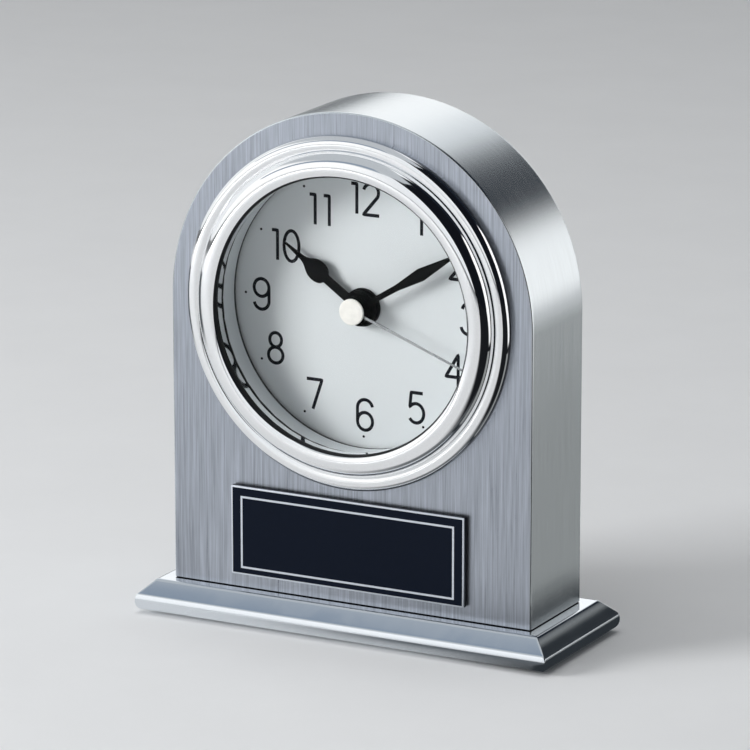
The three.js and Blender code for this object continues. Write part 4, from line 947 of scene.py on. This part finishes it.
class BezelOperator(Operator):
    """Make the polished bezel with its two rolls, and the glass in it"""
    bl_idname = "desk_clock.bezel"
    bl_label = "Bezel and glass"

    def execute(self, context):
        own = context.scene.desk_clock.bezel
        self.rolls(own)
        bm = bmesh.new()
        glass = chamfered(0, LENS_HIGH.x, LENS_LOW.y, LENS_HIGH.y, own.glass_edge)
        turned(bm, glass, closed=False)
        make_piece(bm, "lens_disc", "lens_glass", ["lens"], lens_glass())
        return {"FINISHED"}

    @staticmethod
    def rolls(own):
        """The two rolls, the fall to the opening and its black wall with a bright foot. The black
        wall is partly the lip's own dark finish and partly painted shade at the glass.
        """
        outer_middle = BEZEL_HIGH.x - own.outer_roll
        meet = own.crest + own.inner_roll * math.cos(own.groove_turn)
        groove = math.acos((meet - outer_middle) / own.outer_roll)
        crest_y = FACE_Y - own.crest_height
        profile = [(outer_middle + own.outer_roll * math.cos(turn),
                    FACE_Y - own.outer_rise - own.outer_roll * math.sin(turn))
                   for turn in turns(groove, ROLL_STEPS)]
        profile += [(own.crest + own.inner_roll * math.cos(turn),
                     crest_y + own.inner_roll * (1 - math.sin(turn)))
                    for turn in turns(math.pi / 2, ROLL_STEPS, own.groove_turn)[1:]]
        profile += [(own.crest + (own.opening - own.crest) * math.sin(turn),
                     crest_y + own.inner_drop * (1 - math.cos(turn)))
                    for turn in turns(math.pi / 2, ROLL_STEPS)[1:]]
        seat, bright = LENS_HIGH.x + FIT, LENS_LOW.y - own.bright_edge
        profile += [(own.opening, bright), (own.opening, LENS_LOW.y), (seat, LENS_LOW.y),
                    (seat, FACE_Y), (BEZEL_HIGH.x, FACE_Y)]
        bm = bmesh.new()
        turned(bm, profile)
        close_up(bm)
        for face in bm.faces:
            middle = face.calc_center_median() - CENTRE
            inward = -face.normal.dot(Vector((middle.x, 0, middle.z)).normalized())
            # The inner wall above the bright foot takes the near-black lip finish, partly painted
            # shade
            face.material_index = int(inward > LIP_FLAT and middle.y < bright)
        make_piece(
            bm, "bezel_rolls", "bezel_metal", ["bezel"],
            polished_metal("polished bezel", own.metal_colour),
            grained("blackened lip", own.lip_colour), crease=BEZEL_CREASE)


class DialOperator(Operator):
    """Make the dial, the ring round it, the dial nut and the printed numbers and dots"""
    bl_idname = "desk_clock.dial"
    bl_label = "Dial"

    def execute(self, context):
        own = context.scene.desk_clock.dial
        bm = bmesh.new()
        turned(bm, [(own.hole, DIAL_Y), (DIAL_HIGH.x, DIAL_Y), (DIAL_HIGH.x, DIAL_HIGH.y),
                    (own.hole, DIAL_HIGH.y)])
        make_piece(bm, "dial_face", "dial_silver", ["dial"],
                   grained("silvered dial", own.face_colour))
        self.ring(own)
        self.numbers(own)
        bm = bmesh.new()
        bore, rim = NUT_HIGH.x - own.nut_wall, NUT_HIGH.x
        turned(bm, chamfered(bore, rim, NUT_LOW.y, NUT_HIGH.y, FINE_EDGE), steps=SMALL_RING_STEPS)
        make_piece(bm, "dial_nut_ring", "hand_black", ["dial_nut"],
                   grained("blackened nut", own.nut_colour))
        return {"FINISHED"}

    @staticmethod
    def ring(own):
        """The sloping ring, with a painted shadow on its foot at the dial."""
        bore, wide, edge = own.ring_bore, own.ring_bore + own.ring_slope, FINE_EDGE
        front, foot = RING_LOW.y, DIAL_Y - own.ring_gap
        dark = foot - own.ring_foot
        bm = bmesh.new()
        turned(bm, [(bore + edge, front), (RING_HIGH.x, front), (RING_HIGH.x, foot),
                    (wide + edge, foot), (wide, foot - edge), (wide, dark), (bore, front + edge)])
        close_up(bm)
        # Faces near the dial take the near-black foot finish: painted shadow of the gap under the
        # ring
        for face in bm.faces:
            face.material_index = int(face.calc_center_median().y > dark)
        make_piece(bm, "dial_ring_slope", "ring_silver", ["dial_ring"],
                   grained("satin ring", own.ring_colour),
                   grained("dark ring foot", own.foot_colour))

    @staticmethod
    def numbers(own):
        """Printed strokes, which are bevelled curves made flat on the dial, and the hour dots."""
        curve = bpy.data.curves.new("strokes", "CURVE")
        curve.dimensions = "3D"
        curve.bevel_depth = own.stroke / 2
        curve.bevel_resolution = 3
        curve.use_fill_caps = True
        for text, x, z in NUMBERS:
            shift = -own.number_pair / 2 if len(text) == 2 else 0.0
            for figure in text:
                for stroke in FIGURES[figure]:
                    points = held(stroke)
                    spline = curve.splines.new("POLY")
                    spline.points.add(len(points) - 1)
                    for point, (across, up) in zip(spline.points, points):
                        point.co = (x * MM + shift + across * own.number_height,
                                    z * MM + (up - 0.5) * own.number_height, 0, 1)
                    spline.use_cyclic_u = stroke[0] == stroke[-1]
                shift += own.number_pair
        printed = bpy.data.objects.new("strokes", curve)
        mesh = bpy.data.meshes.new_from_object(printed)
        bpy.data.objects.remove(printed)
        bm = bmesh.new()
        bm.from_mesh(mesh)
        bpy.data.meshes.remove(mesh)
        flatten = own.ink_depth / (own.stroke / 2)
        lay = Matrix.Translation((0, DIAL_Y, CENTRE.z)) @ Matrix.Rotation(math.pi / 2, 4, "X")
        bmesh.ops.transform(bm, matrix=lay @ Matrix.Diagonal((1, 1, flatten, 1)), verts=bm.verts)
        for turn in turns(2 * math.pi, len(NUMBERS))[:-1]:
            at = CENTRE + Vector((math.sin(turn), 0, math.cos(turn))) * own.dot_circle
            levels = [(own.dot, DIAL_Y - rise) for rise in (0, own.ink_depth)]
            rim, top = stack(bm, levels, at, DOT_STEPS)
            fill(bm, FRONT, top)
            fill(bm, REAR, rim)
        make_piece(bm, "dial_numbers", "hand_black", [], grained("dial ink", own.ink_colour),
                   crease=PRINT_CREASE)


class HandsOperator(Operator):
    """Make the hour, minute and second hand and the cap"""
    bl_idname = "desk_clock.hands"
    bl_label = "Hands"

    def execute(self, context):
        own = context.scene.desk_clock.hands
        black = grained("hand black", own.black_colour)
        silver = grained("second hand silver", own.silver_colour)
        self.hand(own, "hour", self.hour_side(own), "hand_black", black)
        self.hand(own, "minute", [
            (own.minute_root / 2, 0), (own.minute_stem / 2, own.minute_stem_end),
            (own.minute_wide / 2, own.minute_wide_at), (own.tip / 2, own.minute_length)],
            "hand_black", black)
        self.hand(own, "second", [(own.second_root / 2, 0), (own.tip / 2, own.second_length)],
                  "second_silver", silver)
        self.cap(own)
        return {"FINISHED"}

    @staticmethod
    def hour_side(own):
        """Half of the spade's outline, from the hub to the tip."""
        stem, bulb, needle = own.hour_stem / 2, own.hour_bulb / 2, own.hour_needle / 2
        start, middle, end = own.hour_bulb_start, own.hour_bulb_middle, own.hour_needle_start
        taper, lift = (end - middle) / 2, (middle - start) / 3
        swell = interpolate_bezier(
            (stem, start, 0), (stem + (bulb - stem) * 2 / 3, start, 0), (bulb, middle - lift, 0),
            (bulb, middle, 0), STROKE_STEPS)
        fall = interpolate_bezier(
            (bulb, middle, 0), (bulb, middle + taper, 0), (needle, end - taper, 0),
            (needle, end, 0), STROKE_STEPS)
        curve = [(point.x, point.y) for point in swell + fall[1:]]
        return [(stem, 0)] + curve + [(own.tip / 2, own.hour_length)]

    @staticmethod
    def hand(own, name, side, slot, finish):
        """A flat hand with a raised hub, drawn at twelve and turned to its rest angle."""
        node = name + "_hand"
        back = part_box(node)[1].y
        hub, bore = HUBS[name]
        front, step = back - own.hub_thickness, hub - own.hub_step
        lower = back - (own.hub_thickness - own.blade_thickness) / 2
        upper = lower - own.blade_thickness
        shoulder = math.asin(side[0][0] / hub)
        rim = [(hub * math.sin(turn), hub * math.cos(turn))
               for turn in turns(2 * math.pi - shoulder, SMALL_RING_STEPS, shoulder)]
        blade = [(across, up) for across, up in side if up > hub]
        outline = rim + [(-across, up) for across, up in blade] + blade[::-1]
        bm = bmesh.new()
        sheets = [wire(bm, [(across, y, CENTRE.z + up) for across, up in outline])
                  for y in (lower, upper)]
        rings = stack(bm, ((step, lower), (step, back), (bore, back), (bore, front), (step, front),
                           (step, upper)), steps=SMALL_RING_STEPS)
        bridge(bm, *sheets)
        fill(bm, REAR, sheets[0], rings[0])
        fill(bm, FRONT, sheets[1], rings[-1])
        rest = Matrix.Rotation(getattr(own, name + "_angle"), 3, "Y")
        bmesh.ops.rotate(bm, verts=bm.verts, cent=CENTRE, matrix=rest)
        make_piece(bm, name + "_pointer", slot, [node], finish, body=name + "_works")

    @staticmethod
    def cap(own):
        """The round cap with a soft edge and a faint dimple."""
        radius, edge = CAP_HIGH.x, own.cap_edge
        back, front = CAP_HIGH.y, CAP_LOW.y
        profile = [(0, back), (radius - edge, back), (radius, back - edge)]
        profile += [(radius - edge * (1 - math.cos(turn)), front + edge * (1 - math.sin(turn)))
                    for turn in turns(math.pi / 2, EDGE_STEPS)]
        profile += [(radius * DIMPLE, front), (0, front + own.cap_dimple)]
        bm = bmesh.new()
        turned(bm, profile, steps=LID_STEPS, closed=False)
        make_piece(bm, "hand_cap", "cap_white", ["second_hand_cap"],
                   grained("ivory cap", own.cap_colour), body="second_works")


class RearOperator(Operator):
    """Make the rear: insert cup, rear cover with its screws, battery door and set knob"""
    bl_idname = "desk_clock.rear"
    bl_label = "Rear"

    def execute(self, context):
        own = context.scene.desk_clock.rear
        plastic = grained("moulded black", own.plastic_colour)
        gloss = grained("smooth black", own.plastic_colour)
        steel = grained("screw steel", own.steel_colour)
        self.cup(own, plastic)
        self.cover(own, plastic)
        for number in COVER_SCREWS:
            self.screw(own, steel, number)
        self.door(own, gloss)
        self.knob(own, gloss)
        return {"FINISHED"}

    @staticmethod
    def cup(own, finish):
        """The can of the insert, with a groove, the cell opening and the knob hole at its rear."""
        outer, inner, ledge = (CUP_HIGH.x - walls * own.cup_wall for walls in range(3))
        rear, floor = CUP_HIGH.y, CUP_HIGH.y - own.cup_floor
        step_y = DIAL_HIGH.y + own.cup_step
        groove_y, seat_y = rear - own.groove, rear - own.door_sink
        groove_out, groove_in = own.groove_radius + own.groove, own.groove_radius - own.groove
        bm = bmesh.new()
        shell = stack(bm, (
            (ledge, floor), (ledge, step_y), (inner, step_y), (inner, FACE_Y), (outer, FACE_Y),
            (outer, rear - own.edge), (outer - own.edge, rear), (groove_out, rear),
            (groove_out, groove_y), (groove_in, groove_y), (groove_in, rear)))
        hole, seat, stem_hole = DOOR_HIGH.x + FIT, own.door_seat, own.knob_stem + FIT
        well = stack(
            bm, ((hole, rear), (hole, seat_y), (seat, seat_y), (seat, floor)), DOOR_AT, LID_STEPS)
        stem = stack(bm, ((stem_hole, rear), (stem_hole, floor)), KNOB_AT, SMALL_RING_STEPS)
        fill(bm, REAR, shell[-1], well[0], stem[0])
        fill(bm, FRONT, shell[0], well[-1], stem[-1])
        make_piece(bm, "insert_can", "black_plastic", ["insert_cup"], finish)

    @staticmethod
    def cover(own, finish):
        """The rear cover: an arch with a rimmed window and four screw holes."""
        half, bottom, edge = COVER_HIGH.x, COVER_LOW.z, own.edge
        front, rear = COVER_LOW.y, COVER_HIGH.y
        bm = bmesh.new()
        skin = [arch(bm, *row) for row in (
            (half, front, bottom), (half, rear - edge, bottom),
            (half - edge, rear, bottom + edge))]
        bridge(bm, *skin)
        window, lip, top = CUP_HIGH.x + own.window_gap, own.window_lip, rear + own.window_rise
        crown = window + own.window_rim
        rim = stack(bm, ((crown + lip, rear), (crown, top), (window + lip, top),
                         (window, top - lip), (window, front)))
        outside, inside = [skin[-1], rim[0]], [skin[0], rim[-1]]
        for number in COVER_SCREWS:
            low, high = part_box("rear_cover_screw_%d" % number)
            hole = stack(
                bm, [(own.screw_hole, y) for y in (rear, front)], (low + high) / 2, HOLE_STEPS)
            outside.append(hole[0])
            inside.append(hole[1])
        fill(bm, REAR, *outside)
        fill(bm, FRONT, *inside)
        make_piece(bm, "rear_panel", "black_plastic", ["rear_cover"], finish)

    @staticmethod
    def screw(own, finish, number):
        """A pan head with a cross recess, on its shank."""
        node = "rear_cover_screw_%d" % number
        low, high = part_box(node)
        at, seat, shank = (low + high) / 2, COVER_HIGH.y, own.screw_shank
        head, tall = high.x - at.x, high.y - seat
        dome = [(across * head, seat + up * tall) for across, up in DOME]
        bm = bmesh.new()
        rings = stack(bm, [(shank, low.y), (shank, seat)] + dome, at, SMALL_RING_STEPS)
        crosses = [wire(bm, [(at.x + x * arm * head, seat + up * tall, at.z + z * arm * head)
                             for x, z in CROSS]) for arm, up in RECESS]
        bridge(bm, *crosses)
        fill(bm, REAR, rings[-1], crosses[0])
        fill(bm, REAR, crosses[1])
        fill(bm, FRONT, rings[0])
        rest = Matrix.Rotation(SCREW_TURN * number, 3, "Y")
        bmesh.ops.rotate(bm, verts=bm.verts, cent=at, matrix=rest)
        make_piece(bm, "cover_screw_%d" % number, "steel", [node], finish)

    @staticmethod
    def door(own, finish):
        """The battery door: a round lid with a raised grip."""
        rear, radius, pad = CUP_HIGH.y, DOOR_HIGH.x, own.door_seat / 2
        front, crown, draft = rear - own.door_thickness, rear + own.rib_height, own.rib_draft
        bm = bmesh.new()
        rings = stack(bm, (
            (pad, DOOR_LOW.y), (pad, front), (radius, front), (radius, rear - own.edge),
            (radius - own.edge, rear)), DOOR_AT, LID_STEPS)
        half, deep = own.rib_length / 2, own.rib_width / 2
        grips = [wire(bm, [(x * (half - inset), y, DOOR_AT.z + z * (deep - inset))
                           for x, z in SQUARE])
                 for inset, y in ((0, rear), (draft / 2, crown - draft), (draft * 1.5, crown))]
        bridge(bm, *grips)
        fill(bm, FRONT, rings[0])
        fill(bm, REAR, rings[-1], grips[0])
        fill(bm, REAR, grips[-1])
        make_piece(bm, "cell_door", "black_plastic", ["battery_door"], finish, body="door_works")

    @staticmethod
    def knob(own, finish):
        """The set knob: fluted side, dished top and its stem."""
        top, foot, edge = KNOB_HIGH.y, KNOB_HIGH.y - own.knob_height, own.knob_edge
        radius, dish = own.knob_radius, own.knob_radius - own.knob_rim
        bm = bmesh.new()
        stem = stack(
            bm, [(own.knob_stem, y) for y in (KNOB_LOW.y, foot)], KNOB_AT, SMALL_RING_STEPS)
        side = []
        for reach, y in ((radius - edge, foot), (radius, foot + edge),
                         (radius, top - edge), (radius - edge, top)):
            points = []
            for turn in turns(2 * math.pi, FLUTES * FLUTE_STEPS)[:-1]:
                out = reach - own.flute * (0.5 - 0.5 * math.cos(FLUTES * turn)) ** SCOOP
                x, z = KNOB_AT.x + out * math.sin(turn), KNOB_AT.z + out * math.cos(turn)
                points.append((x, y, z))
            side.append(wire(bm, points))
        bridge(bm, *side)
        hollow = stack(
            bm, [(dish - drop, top - drop) for drop in (0, own.knob_dish)], KNOB_AT, LID_STEPS)
        fill(bm, FRONT, stem[0])
        fill(bm, FRONT, side[0], stem[1])
        fill(bm, REAR, side[-1], hollow[0])
        fill(bm, REAR, hollow[1])
        make_piece(bm, "hand_set_knob", "black_plastic", ["set_knob"], finish, body="knob_works")


class WorksOperator(Operator):
    """Give the carried-over pieces of the movement and its fittings their finishes"""
    bl_idname = "desk_clock.works"
    bl_label = "Movement finishes"

    def execute(self, context):
        finishes = {}
        for part in frame["record"]["subparts"]:
            node, slot = frame["nodes"][part["node"]], part["material_slot"]
            if node.hide_render:
                continue
            if slot not in finishes:
                finishes[slot] = grained("works " + slot.replace("_", " "), WORKS[slot])
            node.data.materials.clear()
            node.data.materials.append(finishes[slot])
        return {"FINISHED"}


# Stage


class StageOperator(Operator):
    """Set the floor, the lights, the cards that the metal mirrors, and the camera"""
    bl_idname = "desk_clock.stage"
    bl_label = "Stage"

    def execute(self, context):
        own = context.scene.desk_clock.stage
        self.camera(own)
        self.floor(own)
        self.world(own)
        for name, place, size in LIGHTS:
            self.light(name, getattr(own, name + "_power"), place, size)
        for name, bearing, rise, width, height, glow, soft in CARDS:
            self.card(name, self.facing(bearing, rise), width, height, glow, soft)
        for name, x, y, height, turn, width, depth, glow, soft in MATS:
            spin = Matrix.Rotation(math.radians(turn), 4, "Z")
            place = Matrix.Translation((x, y, height * MM)) @ spin
            self.card(name, place, width, depth, glow, soft)
        context.scene.view_settings.view_transform = "Standard"
        return {"FINISHED"}

    @staticmethod
    def direction(turn, rise):
        """A direction turned from +Y towards +X, and raised."""
        level = Vector((math.sin(turn), math.cos(turn), 0)) * math.cos(rise)
        return level + Vector((0, 0, math.sin(rise)))

    @staticmethod
    def camera(own):
        """The camera at the photograph's angle."""
        back = StageOperator.direction(math.pi - own.view_turn, own.view_rise)
        right = Vector((math.cos(own.view_turn), math.sin(own.view_turn), 0))
        data = bpy.data.cameras.new("camera")
        data.lens = own.focal_length
        data.sensor_width = SENSOR_WIDTH
        data.clip_end = FARTHEST
        camera = bpy.data.objects.new("camera", data)
        aim = Vector((0, 0, own.view_height)) - right * own.view_left
        camera.location = aim + back * own.view_distance
        camera.rotation_euler = (-back).to_track_quat("-Z", "Y").to_euler()
        bpy.context.scene.collection.objects.link(camera)
        bpy.context.scene.camera = camera

    @staticmethod
    def floor(own):
        """A wide pale floor with a faint grain."""
        bm = bmesh.new()
        bmesh.ops.create_circle(bm, cap_ends=True, segments=FLOOR_STEPS, radius=own.floor_radius)
        material, tree, shader, place = new_finish(
            "pale floor", {"Specular IOR Level": 0.0, "Roughness": 0.9})
        grain = mask_of(tree, fine_grain, place, Scale=FLOOR_GRAIN)
        tone(tree, shader, grain, own.floor_colour, 1 - FLOOR_CONTRAST, 1 + FLOOR_CONTRAST)
        floor = new_object(bm, "floor", material)

    @staticmethod
    def world(own):
        """Soft light from all round, and pale surroundings in the metal and the glass."""
        world = bpy.data.worlds.new("studio")
        world.use_nodes = True
        tree = world.node_tree
        path = add_node(tree, "ShaderNodeLightPath").outputs
        seen = calculate(tree, "MAXIMUM", path["Is Camera Ray"], path["Is Glossy Ray"])
        seen = calculate(tree, "MAXIMUM", seen, path["Is Transmission Ray"])
        background = tree.nodes["Background"]
        background.inputs["Color"].default_value = shaded(own.sky_colour, 1.0)
        connect(tree, remap(tree, seen, own.sky, own.backdrop), background.inputs["Strength"])
        bpy.context.scene.world = world

    @staticmethod
    def light(name, power, place, size):
        """A square soft light that faces the clock."""
        data = bpy.data.lights.new(name, "AREA")
        data.energy = power
        data.size = size
        lamp = bpy.data.objects.new(name, data)
        lamp.location = place
        lamp.rotation_euler = (CENTRE - Vector(place)).to_track_quat("-Z", "Y").to_euler()
        lamp.visible_glossy = False
        bpy.context.scene.collection.objects.link(lamp)

    @staticmethod
    def facing(bearing, rise):
        """The place of a card that faces the clock from a bearing and a rise in degrees."""
        bearing, rise = math.radians(bearing), math.radians(rise)
        out = StageOperator.direction(bearing, rise)
        side = Vector((math.cos(bearing), -math.sin(bearing), 0))
        turn = Matrix((side, side.cross(out), -out)).transposed().to_4x4()
        return Matrix.Translation(CENTRE + out * CARD_DISTANCE) @ turn

    @staticmethod
    def card(name, place, width, height, glow, soft):
        """A card or mat that only shows in reflections, with soft edges."""
        bm = bmesh.new()
        bm.loops.layers.uv.new("card")
        bmesh.ops.create_grid(
            bm, x_segments=1, y_segments=1, size=0.5, calc_uvs=True,
            matrix=place @ Matrix.Diagonal((width, height, 1, 1)))
        material = bpy.data.materials.new(name)
        material.use_nodes = True
        tree = material.node_tree
        tree.nodes.remove(tree.nodes["Principled BSDF"])
        lit = add_node(tree, "ShaderNodeEmission", {"Color": (*glow, 1.0)})
        clear = add_node(tree, "ShaderNodeBsdfTransparent")
        spot = add_node(tree, "ShaderNodeSeparateXYZ", {
            "Vector": add_node(tree, "ShaderNodeTexCoord").outputs["UV"]})
        fades = []
        for axis, share in zip("XY", soft):
            inward = calculate(tree, "PINGPONG", spot.outputs[axis], 0.5)
            fades.append(remap(tree, inward, end=share, kind="SMOOTHSTEP"))
        shown = calculate(tree, "MULTIPLY", *fades)
        blend_shaders(tree, shown, clear.outputs["BSDF"], lit.outputs["Emission"])
        card = new_object(bm, name, material)
        for ray in ("camera", "diffuse", "transmission", "volume_scatter", "shadow"):
            setattr(card, "visible_" + ray, False)


# The camera's sensor in millimetres, and how far it sees in metres
SENSOR_WIDTH = 36.0
FARTHEST = 200.0

# The floor's grains in a metre, and their contrast
FLOOR_GRAIN = 35.0
FLOOR_CONTRAST = 0.01

# Soft lights: name, place and size in metres
LIGHTS = (
    ("key", (-0.85, -0.80, 0.42), 0.5),
    ("top", (-0.1, -0.15, 1.3), 1.0),
)

# Cards far round the clock: name, bearing from the rear to the right, rise, width, height, colour
# and softness of the edges
CARD_DISTANCE = 3.0
CARDS = (
    ("flag_rear_right", 45.0, 43.0, 5.0, 4.4, (0.012, 0.017, 0.026), (0.14, 0.12)),
    ("flag_right", 128.0, 40.0, 4.6, 6.4, (0.006, 0.007, 0.010), (0.05, 0.06)),
    ("ceiling", 240.0, 66.0, 4.2, 3.4, (0.52, 0.55, 0.58), (0.10, 0.10)),
    ("horizon_rear_left", -38.0, 0.5, 3.2, 1.5, (0.02, 0.025, 0.03), (0.15, 0.4)),
    ("softbox_rear_right", 40.0, 4.0, 3.2, 2.0, (1.06, 1.06, 1.06), (0.35, 0.3)),
    ("softbox_right", 76.0, 14.0, 2.6, 3.2, (1.2, 1.2, 1.2), (0.03, 0.08)),
    ("softbox_rear_left", -24.0, 21.0, 1.8, 1.2, (1.15, 1.15, 1.15), (0.3, 0.3)),
    ("softbox_front_left", 232.0, 20.0, 5.0, 3.0, (1.12, 1.12, 1.12), (0.3, 0.3)),
)

# Mats on or over the floor: name, middle, height in millimetres, turn, width, depth, colour and
# softness of the edges
MATS = (
    ("mat_right", 3.026, -0.983, 0.5, 27.0, 4.5, 4.5, (0.010, 0.011, 0.013), (0.008, 0.008)),
    ("mat_front", 0.10, -0.30, 0.3, 0.0, 0.5, 0.7, (0.72, 0.73, 0.74), (0.4, 0.15)),
    ("mat_far", 2.80, 1.80, 0.6, -10.0, 4.5, 4.5, (1.1, 1.1, 1.1), (0.01, 0.01)),
    ("mat_side", 0.11, 0.17, 0.7, 0.0, 0.16, 0.34, (0.28, 0.29, 0.29), (0.1, 0.08)),
    ("mat_foot", 0.050, 0.01, 0.8, 0.0, 0.016, 0.08, (0.03, 0.035, 0.04), (0.1, 0.1)),
    ("shade_under", 0.1025, 0.13, 10.0, 0.0, 0.114, 0.30, (0.03, 0.035, 0.04), (0.02, 0.02)),
    ("shade_over", 0.1025, 0.13, 10.3, 0.0, 0.116, 0.302, (0.28, 0.29, 0.29), (0.02, 0.02)),
    ("mat_edge", 0.03, -0.026, 0.7, 0.0, 0.13, 0.028, (0.12, 0.13, 0.14), (0.4, 0.45)),
    ("mat_left", -0.36, 0.16, 0.9, 0.0, 0.42, 0.5, (0.10, 0.11, 0.12), (0.15, 0.15)),
    ("strip_over", -0.0775, -0.066, 150.0, 0.0, 0.15, 0.024, (0.28, 0.335, 0.41), (0.05, 0.12)),
)


class ClockPanel(Panel):
    """Lists the steps that build the clock"""
    bl_idname = "VIEW3D_PT_desk_clock"
    bl_label = "Desk Clock"
    bl_space_type = "VIEW_3D"
    bl_region_type = "UI"
    bl_category = "Desk Clock"

    def draw(self, context):
        settings = context.scene.desk_clock
        for step in STEPS:
            self.layout.operator(step.bl_idname)
        for name in ClockSettings.__annotations__:
            box = self.layout.box()
            box.label(text=name.title())
            group = getattr(settings, name)
            for value in type(group).__annotations__:
                box.prop(group, value)


STEPS = (
    CaseOperator, BaseOperator, PlateOperator, BezelOperator, DialOperator, HandsOperator,
    RearOperator, WorksOperator, StageOperator,
)
GROUPS = (
    CaseSettings, BaseSettings, PlateSettings, BezelSettings, DialSettings, HandSettings,
    RearSettings, StageSettings, ClockSettings,
)


def register():
    for kind in GROUPS + STEPS + (ClockPanel,):
        bpy.utils.register_class(kind)
    bpy.types.Scene.desk_clock = PointerProperty(type=ClockSettings)


def unregister():
    del bpy.types.Scene.desk_clock
    for kind in reversed(GROUPS + STEPS + (ClockPanel,)):
        bpy.utils.unregister_class(kind)


def main():
    """Build the clock step by step."""
    register()
    bpy.ops.desk_clock.case()
    bpy.ops.desk_clock.base()
    bpy.ops.desk_clock.name_plate()
    bpy.ops.desk_clock.bezel()
    bpy.ops.desk_clock.dial()
    bpy.ops.desk_clock.hands()
    bpy.ops.desk_clock.rear()
    bpy.ops.desk_clock.works()
    bpy.ops.desk_clock.stage()


if __name__ == "__main__":
    main()
